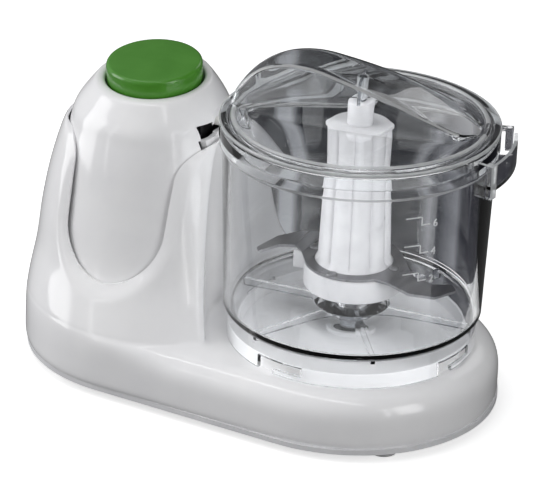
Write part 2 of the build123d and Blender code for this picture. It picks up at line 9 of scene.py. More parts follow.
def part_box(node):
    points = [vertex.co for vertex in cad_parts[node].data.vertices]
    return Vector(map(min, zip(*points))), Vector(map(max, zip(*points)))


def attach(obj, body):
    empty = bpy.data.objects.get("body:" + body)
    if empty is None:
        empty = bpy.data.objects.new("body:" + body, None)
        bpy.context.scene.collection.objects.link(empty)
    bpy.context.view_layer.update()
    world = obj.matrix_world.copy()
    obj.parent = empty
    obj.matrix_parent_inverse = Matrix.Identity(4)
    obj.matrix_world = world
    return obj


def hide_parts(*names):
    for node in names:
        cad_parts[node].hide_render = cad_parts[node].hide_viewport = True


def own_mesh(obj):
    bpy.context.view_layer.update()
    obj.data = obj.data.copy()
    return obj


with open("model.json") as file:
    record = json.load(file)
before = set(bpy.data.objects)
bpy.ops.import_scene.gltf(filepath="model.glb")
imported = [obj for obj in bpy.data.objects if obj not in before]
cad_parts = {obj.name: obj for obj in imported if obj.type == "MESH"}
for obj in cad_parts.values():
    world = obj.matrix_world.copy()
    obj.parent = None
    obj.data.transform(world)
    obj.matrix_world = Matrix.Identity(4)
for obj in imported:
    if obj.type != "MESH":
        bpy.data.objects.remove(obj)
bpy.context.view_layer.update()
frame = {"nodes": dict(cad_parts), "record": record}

mm = 0.001
scene = bpy.context.scene
nodes = frame["nodes"]


def middle(name):
    low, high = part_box(name)
    return (low + high) / 2


bowlX = middle("bowl_boss_ring").x  # axis of the bowl, the spindle and the blade unit
towerX = middle("motor_can").x  # axis of the motor
print("frame loaded, bowl axis at", round(bowlX, 5))


# materials
def linear(code):
    # sRGB hex to the linear colour that shaders take
    parts = [int(code[i:i + 2], 16) / 255 for i in (1, 3, 5)]
    return tuple(c / 12.92 if c <= 0.04045 else ((c + 0.055) / 1.055) ** 2.4 for c in parts) + (1.0,)


def addNode(tree, kind, settings=None, links=None):
    made = tree.nodes.new(kind)
    for name, value in (settings or {}).items():
        if name in made.inputs:
            made.inputs[name].default_value = value
        else:
            setattr(made, name, value)
    for name, source in (links or {}).items():
        tree.links.new(source, made.inputs[name])
    return made


def emptyMaterial(name):
    made = bpy.data.materials.new(name)
    made.use_nodes = True
    made.node_tree.nodes.clear()
    return made, made.node_tree


def finish(name, look):
    # a soft cloud of the pattern's size moves colour and gloss, a finer grain gives the relief
    made, tree = emptyMaterial(name)
    place = addNode(tree, "ShaderNodeTexCoord").outputs["Object"]
    if "stretch" in look:
        place = addNode(tree, "ShaderNodeMapping", {"Scale": look["stretch"]},
                        {"Vector": place}).outputs["Vector"]
    cloud = addNode(tree, "ShaderNodeTexNoise",
                    {"Scale": 1 / (look["cloud"] * mm), "Detail": 4.0, "Roughness": 0.55},
                    {"Vector": place}).outputs["Fac"]
    tint = addNode(tree, "ShaderNodeValToRGB", None, {"Fac": cloud})
    tint.color_ramp.elements[0].position = 0.3
    tint.color_ramp.elements[0].color = linear(look["dark"])
    tint.color_ramp.elements[1].position = 0.7
    tint.color_ramp.elements[1].color = linear(look["light"])
    gloss = addNode(tree, "ShaderNodeMapRange",
                    {"From Min": 0.3, "From Max": 0.7, "To Min": look["gloss"][0],
                                                 "To Max": look["gloss"][1]},
                    {"Value": cloud}).outputs["Result"]
    kind = look.get("grainKind", "ShaderNodeTexNoise")
    grain = addNode(tree, kind, {"Scale": 1 / (look["grain"] * mm)}, {"Vector": place})
    if kind == "ShaderNodeTexWave":
        grain.bands_direction = look.get("bands", "Z")
        grain.inputs["Distortion"].default_value = look.get("distortion", 0.6)
        grain.inputs["Scale"].default_value = 0.314 / (look["grain"] * mm)
    relief = addNode(tree, "ShaderNodeBump",
                     {"Strength": look.get("relief", 0.2), "Distance": look.get("depth", 0.05) * mm},
                     {"Height": grain.outputs[0 if kind == "ShaderNodeTexVoronoi" else "Fac"]}).outputs["Normal"]
    shader = addNode(tree, "ShaderNodeBsdfPrincipled", {"Metallic": look.get("metallic", 0.0)},
                     {"Base Color": tint.outputs["Color"], "Roughness": gloss, "Normal": relief})
    if "ior" in look:
        shader.inputs["IOR"].default_value = look["ior"]
    if "under" in look:
        shader.inputs["Subsurface Weight"].default_value = look["under"][0]
        shader.inputs["Subsurface Radius"].default_value = (look["under"][1] * mm,) * 3
        shader.inputs["Subsurface Scale"].default_value = 1.0
    if "coat" in look:
        shader.inputs["Coat Weight"].default_value = look["coat"]
        shader.inputs["Coat Roughness"].default_value = 0.05
    if "clear" in look:
        shader.inputs["Transmission Weight"].default_value = look["clear"]
    addNode(tree, "ShaderNodeOutputMaterial", None, {"Surface": shader.outputs["BSDF"]})
    return made


looks = {
    # polished injection-moulded ABS: clean white with a faint flow cloud and a mirror-like skin
    "glossWhiteAbs": {"dark": "#efeff1", "light": "#f6f6f7", "gloss": (0.10, 0.15), "cloud": 34,
                      "grain": 3.2,
                      "relief": 0.06, "depth": 0.02, "ior": 1.53},
    # moulded ABS with a spark-eroded texture under the base: duller and finely pebbled
    "satinWhiteAbs": {"dark": "#d9d9dc", "light": "#e6e6e8", "gloss": (0.38, 0.5), "cloud": 20,
                      "grain": 0.6,
                      "relief": 0.35, "depth": 0.05, "ior": 1.53},
    # soft thermoplastic rubber feet: matt, slightly dusty grey
    "greyFootRubber": {"dark": "#a9a9ab", "light": "#c6c6c8", "gloss": (0.6, 0.75), "cloud": 5,
                       "grain": 0.45,
                       "relief": 0.4, "depth": 0.05, "ior": 1.5},
    # zinc-plated screws: bright with a faint blue-grey bloom
    "zincPlatedScrew": {"dark": "#a7abb0", "light": "#c9ccd0", "gloss": (0.25, 0.4), "cloud": 2.5,
                        "grain": 0.5,
                        "relief": 0.2, "metallic": 1.0},
    # black PVC inlet sleeve: soft sheen over fine mould texture
    "blackPvcSleeve": {"dark": "#141415", "light": "#232325", "gloss": (0.42, 0.55), "cloud": 4,
                       "grain": 0.5,
                       "relief": 0.3, "ior": 1.5},
    # drawn, plated steel motor can: faint vertical draw lines
    "drawnPlatedSteel": {"dark": "#8f9294", "light": "#b4b7ba", "gloss": (0.22, 0.36), "cloud": 9,
                         "grain": 0.7,
                         "relief": 0.25, "metallic": 1.0, "stretch": (1, 1, 0.12)},
    # moulded nylon end cap: off-black, dry surface
    "glassFilledNylon": {"dark": "#1c1c1d", "light": "#303032", "gloss": (0.5, 0.62), "cloud": 6,
                         "grain": 0.4,
                         "relief": 0.4, "ior": 1.53},
    # sintered bronze bushes: open-grained, oily brown metal
    "sinteredBronze": {"dark": "#7a5a34", "light": "#a57f4d", "gloss": (0.35, 0.5), "cloud": 2,
                       "grain": 0.3,
                       "relief": 0.5, "metallic": 1.0},
    # fired ferrite magnets: dark grey ceramic with a coarse speckle
    "firedFerrite": {"dark": "#2b2b2e", "light": "#454548", "gloss": (0.55, 0.7), "cloud": 3, "grain": 0.8,
                     "grainKind": "ShaderNodeTexVoronoi", "relief": 0.4, "ior": 1.6},
    # pressed carbon brushes: sooty, with a dull metallic sheen
    "pressedCarbon": {"dark": "#17171a", "light": "#2c2c30", "gloss": (0.45, 0.6), "cloud": 1.5,
                      "grain": 0.3,
                      "relief": 0.3, "ior": 1.6},
    # stacked silicon steel: fine horizontal lamination lines
    "stackedLaminations": {"dark": "#5d6064", "light": "#83878c", "gloss": (0.35, 0.5), "cloud": 6,
                           "grain": 0.5,
                           "grainKind": "ShaderNodeTexWave", "relief": 0.6, "depth": 0.08, "metallic": 1.0},
    # hard-drawn copper segments: warm, with turning marks
    "turnedCopper": {"dark": "#a4603a", "light": "#c98254", "gloss": (0.22, 0.34), "cloud": 3, "grain": 0.3,
                     "grainKind": "ShaderNodeTexWave", "relief": 0.3, "metallic": 1.0},
    # ground steel shaft: bright, with fine rings of grinding
    "groundSteel": {"dark": "#9fa2a6", "light": "#c3c6ca", "gloss": (0.14, 0.24), "cloud": 6, "grain": 0.3,
                    "grainKind": "ShaderNodeTexWave", "relief": 0.15, "metallic": 1.0},
    # black nylon fan and pulleys: dull with fine texture
    "blackNylon": {"dark": "#161617", "light": "#272729", "gloss": (0.4, 0.55), "cloud": 6, "grain": 0.5,
                   "relief": 0.3, "ior": 1.53},
    # neoprene belt: matt black with ribs along its run
    "ribbedNeoprene": {"dark": "#101011", "light": "#1f1f20", "gloss": (0.6, 0.75), "cloud": 5,
                       "grain": 1.2,
                       "grainKind": "ShaderNodeTexWave", "relief": 0.7, "depth": 0.2, "ior": 1.5},
    # acetal coupler: waxy off-white, translucent at its corners
    "waxyAcetal": {"dark": "#dcdcd8", "light": "#ecece9", "gloss": (0.3, 0.42), "cloud": 5, "grain": 0.6,
                   "relief": 0.15, "under": (0.3, 1.2), "ior": 1.48},
    # polypropylene hub: milky white that lets light glow through its thin ribs
    "milkyPolypropylene": {"dark": "#d3d3d6", "light": "#e2e2e4", "gloss": (0.26, 0.36), "cloud": 10,
                           "grain": 0.8,
                           "relief": 0.15, "depth": 0.04, "under": (0.35, 2.0), "ior": 1.49},
    # rolled and ground stainless blade: long fine scratches from the grinding wheel
    "groundBladeSteel": {"dark": "#77777a", "light": "#939396", "gloss": (0.26, 0.4), "cloud": 3,
                         "grain": 0.25,
                         "relief": 0.35, "metallic": 1.0, "stretch": (1, 0.1, 1)},
    # polished green ABS: a fresh mid green with a wet-looking skin
    "glossGreenAbs": {"dark": "#478828", "light": "#509231", "gloss": (0.16, 0.24), "cloud": 16,
                      "grain": 1.6,
                      "relief": 0.08, "depth": 0.02, "ior": 1.53},
    # hard-drawn spring wire: bright with fine draw lines
    "drawnSpringWire": {"dark": "#8d9094", "light": "#b3b6ba", "gloss": (0.25, 0.38), "cloud": 2,
                        "grain": 0.2,
                        "relief": 0.2, "metallic": 1.0},
}
made = {name: finish(name, look) for name, look in looks.items()}


def clearSan(name, look):
    # polished styrene-acrylonitrile: water clear, with faint waves from the mould in its reflections
    material, tree = emptyMaterial(name)
    place = addNode(tree, "ShaderNodeTexCoord").outputs["Object"]
    wave = addNode(tree, "ShaderNodeTexNoise", {"Scale": 1 / (look["waves"] * mm), "Detail": 1.0},
                   {"Vector": place})
    gloss = addNode(tree, "ShaderNodeMapRange", {"To Min": look["gloss"][0], "To Max": look["gloss"][1]},
                    {"Value": wave.outputs["Fac"]}).outputs["Result"]
    relief = addNode(tree, "ShaderNodeBump", {"Strength": look["relief"], "Distance": look["depth"] * mm},
                     {"Height": wave.outputs["Fac"]}).outputs["Normal"]
    shader = addNode(tree, "ShaderNodeBsdfPrincipled",
                     {"Base Color": linear(look["tint"]), "IOR": look["ior"],
                                                        "Transmission Weight": 1.0},
                     {"Roughness": gloss, "Normal": relief})
    addNode(tree, "ShaderNodeOutputMaterial", None, {"Surface": shader.outputs["BSDF"]})
    return material


made["polishedClearSan"] = clearSan("polishedClearSan",
                                    {"tint": "#fbfcfd", "ior": 1.5, "gloss": (0.0, 0.012),
                                                         "waves": 22, "relief": 0.012, "depth": 0.05})

# painted highlight: a pale, part-clear finish on the corners of a clear moulding stands in for light that
# travels along the wall and comes out as a pale line
made["paintedHighlightEdge"] = finish("paintedHighlightEdge",
                                 {"dark": "#dfe2e4", "light": "#f1f3f4", "gloss": (0.12, 0.25), "cloud": 6,
                                                     "grain": 0.8, "relief": 0.1, "ior": 1.5,
                                  "clear": 0.55})
# etched into the mould, so the raised marks come out milky against the clear wall
made["frostedSanMark"] = finish("frostedSanMark",
                                {"dark": "#c9cbce", "light": "#dfe0e2", "gloss": (0.4, 0.55), "cloud": 3,
                                                   "grain": 0.3, "relief": 0.3, "ior": 1.5})

slotFinish = {
    "white_housing": "glossWhiteAbs", "base_plastic": "satinWhiteAbs", "foot_rubber": "greyFootRubber",
    "screw_steel": "zincPlatedScrew", "gland_plastic": "blackPvcSleeve", "plated_steel": "drawnPlatedSteel",
    "end_cap_plastic": "glassFilledNylon", "bronze": "sinteredBronze", "ferrite": "firedFerrite",
    "carbon": "pressedCarbon", "laminations": "stackedLaminations", "copper": "turnedCopper",
    "shaft_steel": "groundSteel", "black_nylon": "blackNylon", "belt_rubber": "ribbedNeoprene",
    "coupler_plastic": "waxyAcetal", "hub_plastic": "milkyPolypropylene", "blade_steel": "groundBladeSteel",
    "clear_plastic": "polishedClearSan", "button_green": "glossGreenAbs", "spring_steel": "drawnSpringWire",
}
slotOf = {part["node"]: part["material_slot"] for part in frame["record"]["subparts"]}
for name, piece in nodes.items():
    material = made[slotFinish[slotOf[name]]]
    if not piece.material_slots:
        piece.data.materials.append(material)
    for held in piece.material_slots:
        held.material = material
for piece in [nodes[n] for n in nodes if slotOf[n] == "clear_plastic"]:
    piece.visible_shadow = False  # light reaches the blade unit through the clear walls
print("materials on", len(nodes), "nodes")


# shared shaping
def newPiece(name, shape, body, material, hides=(), smoothAngle=35):
    # turned outwards, shaded smooth below the angle, then hung on its CAD body
    bmesh.ops.recalc_face_normals(shape, faces=shape.faces)
    for face in shape.faces:
        face.smooth = True
    for edge in shape.edges:
        edge.smooth = len(edge.link_faces) == 2 and edge.calc_face_angle(0) < radians(smoothAngle)
    mesh = bpy.data.meshes.new(name)
    shape.to_mesh(mesh)
    shape.free()
    mesh.materials.append(made[material])
    piece = bpy.data.objects.new(name, mesh)
    scene.collection.objects.link(piece)
    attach(piece, body)
    if hides:
        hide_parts(*hides)
    return piece


def skin(shape, rows, closed):
    # quads between neighbouring rows of vertices
    for low, high in zip(rows, rows[1:]):
        count = len(low)
        for i in range(count if closed else count - 1):
            j = (i + 1) % count
            corners = [low[i], low[j], high[j], high[i]]
            if len(set(corners)) == 4:
                shape.faces.new(corners)


def spunShape(profile, steps, start=None):
    # (radius, height) corners in millimetres turned once round the bowl axis
    shape = start or bmesh.new()
    line = [shape.verts.new((bowlX + r * mm, 0, z * mm)) for r, z in profile]
    edges = [shape.edges.new((a, b)) for a, b in zip(line, line[1:])]
    bmesh.ops.spin(shape, geom=line + edges, cent=(bowlX, 0, 0), axis=(0, 0, 1), angle=2 * pi, steps=steps,
                   use_merge=True)
    bmesh.ops.remove_doubles(shape, verts=shape.verts, dist=0.01 * mm)
    return shape


def rounded(points, radius, parts=4):
    # the corners of an open or closed profile turned into small arcs
    result = []
    closed = points[0] == points[-1]
    ring = points[:-1] if closed else points
    for i, (x, z) in enumerate(ring):
        if not closed and i in (0, len(ring) - 1):
            result.append((x, z))
            continue
        before = Vector(ring[i - 1]) - Vector((x, z))
        after = Vector(ring[(i + 1) % len(ring)]) - Vector((x, z))
        cut = min(radius, before.length * 0.45, after.length * 0.45)
        a = Vector((x, z)) + before.normalized() * cut
        b = Vector((x, z)) + after.normalized() * cut
        for k in range(parts + 1):
            t = k / parts
            p = a * (1 - t) ** 2 + Vector((x, z)) * 2 * t * (1 - t) + b * t ** 2
            result.append((p.x, p.y))
    if closed:
        result.append(result[0])
    return result


def smoothStep(low, high, value):
    t = min(1.0, max(0.0, (value - low) / (high - low)))
    return t * t * (3 - 2 * t)


def apply(piece, kind, settings):
    # adds a modifier and bakes it into the mesh at once
    added = piece.modifiers.new(kind.lower(), kind)
    for name, value in settings.items():
        setattr(added, name, value)
    bpy.context.view_layer.update()
    baked = bpy.data.meshes.new_from_object(piece.evaluated_get(bpy.context.evaluated_depsgraph_get()))
    piece.modifiers.clear()
    piece.data = baked


def looseObject(shape, name="tool"):
    mesh = bpy.data.meshes.new(name)
    bmesh.ops.recalc_face_normals(shape, faces=shape.faces)
    shape.to_mesh(mesh)
    shape.free()
    tool = bpy.data.objects.new(name, mesh)
    scene.collection.objects.link(tool)
    return tool


def combine(piece, tool, operation):
    apply(piece, "BOOLEAN", {"object": tool, "operation": operation, "solver": "MANIFOLD"})
    bpy.data.objects.remove(tool)


def turnOut(shape, verts, degrees):
    # turned about the upright, then moved out to the bowl axis
    bmesh.ops.rotate(shape, verts=verts, cent=(0, 0, 0), matrix=Matrix.Rotation(radians(degrees), 3, "Z"))
    bmesh.ops.translate(shape, verts=verts, vec=(bowlX, 0, 0))


def hang(piece, name, body, materials, hides):
    # a finished moulding gets its name and finishes, and hangs on its CAD body
    piece.name = name
    piece.data.materials.clear()
    for material in materials:
        piece.data.materials.append(made[material])
    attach(piece, body)
    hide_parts(hides)


def softenShading(piece, angle):
    shape = bmesh.new()
    shape.from_mesh(piece.data)
    for face in shape.faces:
        face.smooth = True
    for edge in shape.edges:
        edge.smooth = len(edge.link_faces) == 2 and edge.calc_face_angle(0) < radians(angle)
    shape.to_mesh(piece.data)
    shape.free()


# housing: base and tower wings in one smooth moulding
shell = {
    "endX": -98.0, "endR": 71.0, "bowlEndR": 70.8, "low": 6.5, "deck": 31.5, "shoulder": 12.0,
    "recessR": 70.0, "deckHoleR": 57.9, "top": 117.0, "topR": 42.0, "topX": -110.0,
    "towerColumns": 44, "bowlColumns": 34, "recessColumns": 16, "wall": 1.2,
    "cutX": -104.0, "cutR": 25.0, "cutLow": 53.0, "flareR": 14.0, "lipWide": 6.5, "lipDeep": 3.0,
}
stationShares = [(0.0, 0.0, 1.0), (0.2, 0.04, 0.97), (0.31, 0.36, 0.79), (0.44, 0.7, 0.56),
                 (0.6, 0.86, 0.43),
                 (0.78, 0.94, 0.27), (0.9, 0.98, 0.13), (1.0, 1.0, 0.0)]


def easedThrough(points, value):
    # smooth curve through the stations, by Hermite segments
    for k in range(len(points) - 1):
        x0, y0 = points[k]
        x1, y1 = points[k + 1]
        if value <= x1 or k == len(points) - 2:
            def slope(i):
                if i in (0, len(points) - 1):
                    j = min(i, len(points) - 2)
                    return (points[j + 1][1] - points[j][1]) / (points[j + 1][0] - points[j][0])
                return (points[i + 1][1] - points[i - 1][1]) / (points[i + 1][0] - points[i - 1][0])
            t = (value - x0) / (x1 - x0)
            h = x1 - x0
            return ((2 * t ** 3 - 3 * t ** 2 + 1) * y0 + (t ** 3 - 2 * t ** 2 + t) * h * slope(k)
                    + (-2 * t ** 3 + 3 * t ** 2) * y1 + (t ** 3 - t ** 2) * h * slope(k + 1))


def towerAt(z, inset=0.0):
    up = (z - shell["low"]) / (shell["top"] - shell["low"])
    over = easedThrough([(u, o) for u, o, w in stationShares], up)
    wide = easedThrough([(u, w) for u, o, w in stationShares], up)
    centre = shell["endX"] + (shell["topX"] - shell["endX"]) * over
    radius = shell["topR"] + (shell["endR"] - shell["topR"]) * wide - inset
    return centre, radius


def hornAngles(centre, radius, recessR):
    # where the tower's round meets the hollow: angle round the tower, angle round the bowl axis
    x = (radius ** 2 - recessR ** 2 - centre ** 2) / (-2 * centre)
    y = sqrt(max(0.0, recessR ** 2 - x * x))
    return atan2(y, x - centre), atan2(y, -x)


def cutDistance(x, z):
    side = abs(x - shell["cutX"])
    bend = shell["cutLow"] + shell["cutR"]
    flare = shell["top"] - shell["flareR"]
    if z < bend:
        return hypot(side, z - bend) - shell["cutR"]
    half = shell["cutR"]
    if z > flare:
        rise = min(1.0, (z - flare) / shell["flareR"])
        half += shell["flareR"] * (1 - sqrt(max(0.0, 1 - rise * rise)))
    return side - half


def housingShape():
    s = shell
    shape = bmesh.new()
    shoulderRows = [(6.5, 0.0), (8.2, 0.0), (13, 0.0), (18, 0.0), (21, 0.015), (24, 0.07), (26.6, 0.19),
                    (28.8, 0.37), (30.4, 0.6), (31.3, 0.86)]
    towerRows = [33.6, 36.5, 41, 47, 54, 62, 70, 78, 86, 94, 101, 107, 112, 115.4, 116.8]
    countT, countB, countR = s["towerColumns"], s["bowlColumns"], s["recessColumns"]

    def vertex(x, y, z):
        return shape.verts.new((bowlX + x * mm, y * mm, z * mm))

    def ledge(x, y, z):
        centre, radius = towerAt(z)
        return max(0.0, s["endR"] - hypot(x - centre, y))

    baseRows = []
    tuck = 0.9
    for k, (z, share) in enumerate(shoulderRows):
        centre, radius = towerAt(z)
        horn = hornAngles(*towerAt(s["deck"]), s["recessR"])[0]
        row = []
        under = tuck if k == 0 else 0.0
        for i in range(countT + 1):
            angle = horn + (2 * pi - 2 * horn) * i / countT
            x = centre + (radius - under) * cos(angle)
            y = (radius - under) * sin(angle)
            if cos(angle) > 0:
                side = 1 if y > 0 else -1
                straight = side * (s["endR"] - under)
                room = abs(straight) - abs(y)
                y = straight - side * min(s["shoulder"], room) * share
            row.append(vertex(x, y, z))
        hornX = s["endX"] + s["endR"] * cos(horn)
        length = -hornX
        arc = pi * s["bowlEndR"]
        total = 2 * length + arc
        inward = s["shoulder"] * share + under
        for i in range(1, countB):
            run = total * i / countB
            if run < length:
                x, y = hornX + run, -(s["endR"] - inward)
            elif run < length + arc:
                angle = -pi / 2 + (run - length) / s["bowlEndR"]
                x, y = (s["bowlEndR"] - inward) * cos(angle), (s["bowlEndR"] - inward) * sin(angle)
            else:
                x, y = -(run - length - arc), s["endR"] - inward
            row.append(vertex(x, y, z))
        baseRows.append(row)
    skin(shape, baseRows, True)

    towerLoops = []
    for k, z in enumerate(towerRows):
        centre, radius = towerAt(z)
        if k >= len(towerRows) - 2:
            radius -= 0.25 + 0.75 * (k - len(towerRows) + 2)
        horn, across = hornAngles(centre, radius, s["recessR"])
        row = []
        for i in range(countT + 1):
            angle = horn + (2 * pi - 2 * horn) * i / countT
            row.append(vertex(centre + radius * cos(angle), radius * sin(angle), z))
        for i in range(1, countR):
            angle = across * (-1 + 2 * i / countR)
            row.append(vertex(-s["recessR"] * cos(angle), s["recessR"] * sin(angle), z))
        towerLoops.append(row)
    skin(shape, towerLoops, True)
    last = baseRows[-1]
    first = towerLoops[0]
    foot = []
    for i in range(countT + 1):
        a, b = last[i].co, first[i].co
        mix = a.lerp(b, 0.72)
        reach = smoothStep(0, 6 * mm, (a - b).length)
        foot.append(shape.verts.new((mix.x, mix.y, (31.9 * mm) * reach + mix.z * (1 - reach))))
    skin(shape, [last[:countT + 1], foot, first[:countT + 1]], False)

    # deck: from the shoulder and the foot of the hollow to the hole for the bowl's seat
    across = hornAngles(*towerAt(s["deck"]), s["recessR"])[1]
    recessFoot = []
    for i in range(1, countR):
        angle = across * (-1 + 2 * i / countR)
        recessFoot.append(vertex(-(s["recessR"] - 0.8) * cos(angle), (s["recessR"] - 0.8) * sin(angle),
                                 31.7))
    hollow = [foot[countT]] + recessFoot + [foot[0]]
    rise = [first[countT]] + first[countT + 1:] + [first[0]]
    skin(shape, [hollow, rise], False)
    outer = [foot[countT]] + last[countT + 1:] + [foot[0]] + recessFoot[::-1]
    deckMid = []
    deckIn = []
    for v in outer:
        x, y = v.co.x - bowlX, v.co.y
        angle = atan2(y, x)
        far = hypot(x, y) / mm
        for rows, radius in ((deckMid, s["deckHoleR"] + (far - s["deckHoleR"]) * 0.55),
                             (deckIn, s["deckHoleR"])):
            rows.append(vertex(radius * cos(angle), radius * sin(angle), s["deck"]))
    skin(shape, [outer, deckMid, deckIn], True)
    shape.faces.new([foot[countT], last[countT], last[countT + 1]])
    shape.faces.new([foot[0], last[0], last[-1]])
    return shape


shape = housingShape()
housing = looseObject(shape, "housing")
apply(housing, "SUBSURF", {"levels": 2, "render_levels": 2})
shape = bmesh.new()
shape.from_mesh(housing.data)
# soft lip round the U: the skin sinks towards the opening, fading out at its upper ends
shape.normal_update()
moves = []
for v in shape.verts:
    x, y, z = (v.co.x - bowlX) / mm, v.co.y / mm, v.co.z / mm
    if z < 40 or abs(y) < 18:
        continue
    d = cutDistance(x, z)
    if d < shell["lipWide"]:
        t = 1 - max(d, 0.0) / shell["lipWide"]
        fade = 1 - 0.45 * smoothStep(85, 112, z)
        moves.append((v, v.normal * (-shell["lipDeep"] * fade * t ** 1.3 * mm)))
for v, move in moves:
    v.co += move
shape.to_mesh(housing.data)
shape.free()
apply(housing, "SOLIDIFY", {"thickness": shell["wall"] * mm, "offset": -1.0, "use_even_offset": True})


def cutPrism(grow=0.0):
    s = shell
    tool = bmesh.new()
    outline = []
    bend = s["cutLow"] + s["cutR"]
    for k in range(49):
        angle = pi + pi * k / 48
        outline.append((s["cutX"] + (s["cutR"] + grow) * cos(angle),
                        bend + (s["cutR"] + grow) * sin(angle)))
    flare = s["top"] - s["flareR"]
    side = []
    for k in range(13):
        angle = radians(90 * k / 12)
        side.append((s["cutR"] + grow + s["flareR"] * (1 - cos(angle)), flare + s["flareR"] * sin(angle)))
    side += [(s["cutR"] + 60, s["top"]), (s["cutR"] + 60, s["top"] + 20)]
    outline += [(s["cutX"] + x, z) for x, z in side]
    outline += [(s["cutX"] - x, z) for x, z in side[::-1]]
    ring = [tool.verts.new((bowlX + x * mm, -0.1, z * mm)) for x, z in outline]
    face = tool.faces.new(ring)
    pushed = bmesh.ops.extrude_face_region(tool, geom=[face])
    moved = [g for g in pushed["geom"] if isinstance(g, bmesh.types.BMVert)]
    bmesh.ops.translate(tool, verts=moved, vec=(0, 0.2, 0))
    return tool


combine(housing, looseObject(cutPrism()), "DIFFERENCE")
softenShading(housing, 38)
print("housing", len(housing.data.polygons), "faces")

hang(housing, "housingMoulding", "base", ["glossWhiteAbs"], "outer_shell")

# inner tower with its domed top and the button's well
buttonTilt = radians(6.5)
buttonTop = Vector((towerX, 0, 146 * mm))
buttonPlace = Matrix.Translation(buttonTop) @ Matrix.Rotation(buttonTilt, 4, "X")
tower = {"columns": 72, "nest": 3.0, "sunk": 2.0, "recessR": 73.0, "domeLow": 117.0, "wall": 2.4,
         "low": [46, 52, 60, 70, 80, 90, 100, 108, 113],
         "dome": [(117, 39), (121, 38.4), (125, 36.9), (129, 34.4), (133, 31.5), (135.8, 29.3),
                  (137.3, 28.0)],
         "rim": [(27.2, -8.15), (25.9, -8.0), (24.6, -8.1), (23.85, -8.7), (23.6, -9.6), (23.6, -13.5),
                 (23.6, -18.0),
                 (23.2, -19.0), (14, -19.0), (4.4, -19.0), (4.4, -21.0)]}


def towerShape():
    shape = bmesh.new()
    count = tower["columns"]
    loops = []
    for z in tower["low"]:
        centre, radius = towerAt(z, tower["nest"] + tower["sunk"] * (1 - smoothStep(85, 112, z)))
        row = []
        for i in range(count):
            angle = 2 * pi * i / count
            x, y = centre + radius * cos(angle), radius * sin(angle)
            far = hypot(x, y)
            if far < tower["recessR"]:
                x, y = x * tower["recessR"] / far, y * tower["recessR"] / far
            row.append(shape.verts.new((bowlX + x * mm, y * mm, z * mm)))
        loops.append(row)
    for z, radius in tower["dome"]:
        lean = smoothStep(tower["domeLow"], 137.5, z)
        row = []
        for i in range(count):
            angle = 2 * pi * i / count
            x, y = radius * cos(angle), radius * sin(angle)
            far = hypot(x + shell["topX"], y)
            if far < tower["recessR"]:
                push = tower["recessR"] / far
                x, y = (x + shell["topX"]) * push - shell["topX"], y * push
            row.append(shape.verts.new((towerX + x * mm, y * mm, (z + y * sin(buttonTilt) * lean) * mm)))
        loops.append(row)
    for radius, z in tower["rim"]:
        row = []
        for i in range(count):
            angle = 2 * pi * i / count
            row.append(shape.verts.new(buttonPlace @ Vector((radius * cos(angle) * mm,
                                                             radius * sin(angle) * mm, z * mm))))
        loops.append(row)
    skin(shape, loops, True)
    return shape


towerPiece = looseObject(towerShape(), "innerTower")
apply(towerPiece, "SUBSURF", {"levels": 1, "render_levels": 1})
apply(towerPiece, "SOLIDIFY", {"thickness": tower["wall"] * mm, "offset": -1.0, "use_even_offset": True})


def arcBlock(shape, inner, outer, low, high, start, end, steps=12):
    # piece of a ring about the bowl axis, angles in degrees
    corners = [(inner, low), (outer, low), (outer, high), (inner, high)]
    turnStart = Matrix.Rotation(radians(start), 4, "Z")
    ring = [shape.verts.new(Vector((bowlX, 0, 0)) + turnStart @ Vector((r * mm, 0, z * mm))) for r,
            z in corners]
    face = shape.faces.new(ring)
    bmesh.ops.spin(shape, geom=[face] + list(face.edges) + ring, cent=(bowlX, 0, 0), axis=(0, 0, 1),
                   angle=radians(end - start), steps=steps, use_merge=False)
    return shape


# inner radius, outer radius, low, high, start, end and steps of each cut beside the bowl
notches = ((60, 75.5, 118.5, 139, 172, 184, 12), (60, 79.5, 117.6, 124.6, 183, 192, 12),
           (60, 81.0, 111.0, 118.0, 190.5, 193, 4))
for parts in notches:
    combine(towerPiece, looseObject(arcBlock(bmesh.new(), *parts)), "DIFFERENCE")
softenShading(towerPiece, 38)
hang(towerPiece, "innerTowerMoulding", "base", ["glossWhiteAbs"], "motor_tower")
print("inner tower", len(towerPiece.data.polygons), "faces")

# seat for the bowl in the deck
seat = {"outer": 57.95, "deck": 31.5, "under": 29.1, "ringR": 56.4, "ringWall": 1.6, "ringTop": 38.5,
        "bossR": 11.5, "boreR": 8.05, "bossTop": 35.0, "lugLow": 34.7, "lugHigh": 37.7, "lugHalf": 3.5}
seatProfile = [(seat["outer"], seat["deck"]), (seat["ringR"], seat["deck"]),
               (seat["ringR"], seat["ringTop"]),
               (seat["ringR"] - seat["ringWall"], seat["ringTop"]),
               (seat["ringR"] - seat["ringWall"], seat["deck"]),
               (seat["bossR"], seat["deck"]), (seat["bossR"], seat["bossTop"]),
               (seat["boreR"], seat["bossTop"]),
               (seat["boreR"], seat["under"]), (seat["outer"], seat["under"]),
               (seat["outer"], seat["deck"])]
shape = spunShape(rounded(seatProfile, 0.5, 3), 128)
for k in range(4):
    arcBlock(shape, seat["ringR"] - 1.0, seat["ringR"] + 1.7, seat["lugLow"], seat["lugHigh"],
             90 * k - seat["lugHalf"], 90 * k + seat["lugHalf"], 4)
newPiece("bowlSeat", shape, "base", "glossWhiteAbs")
print("bowl seat")

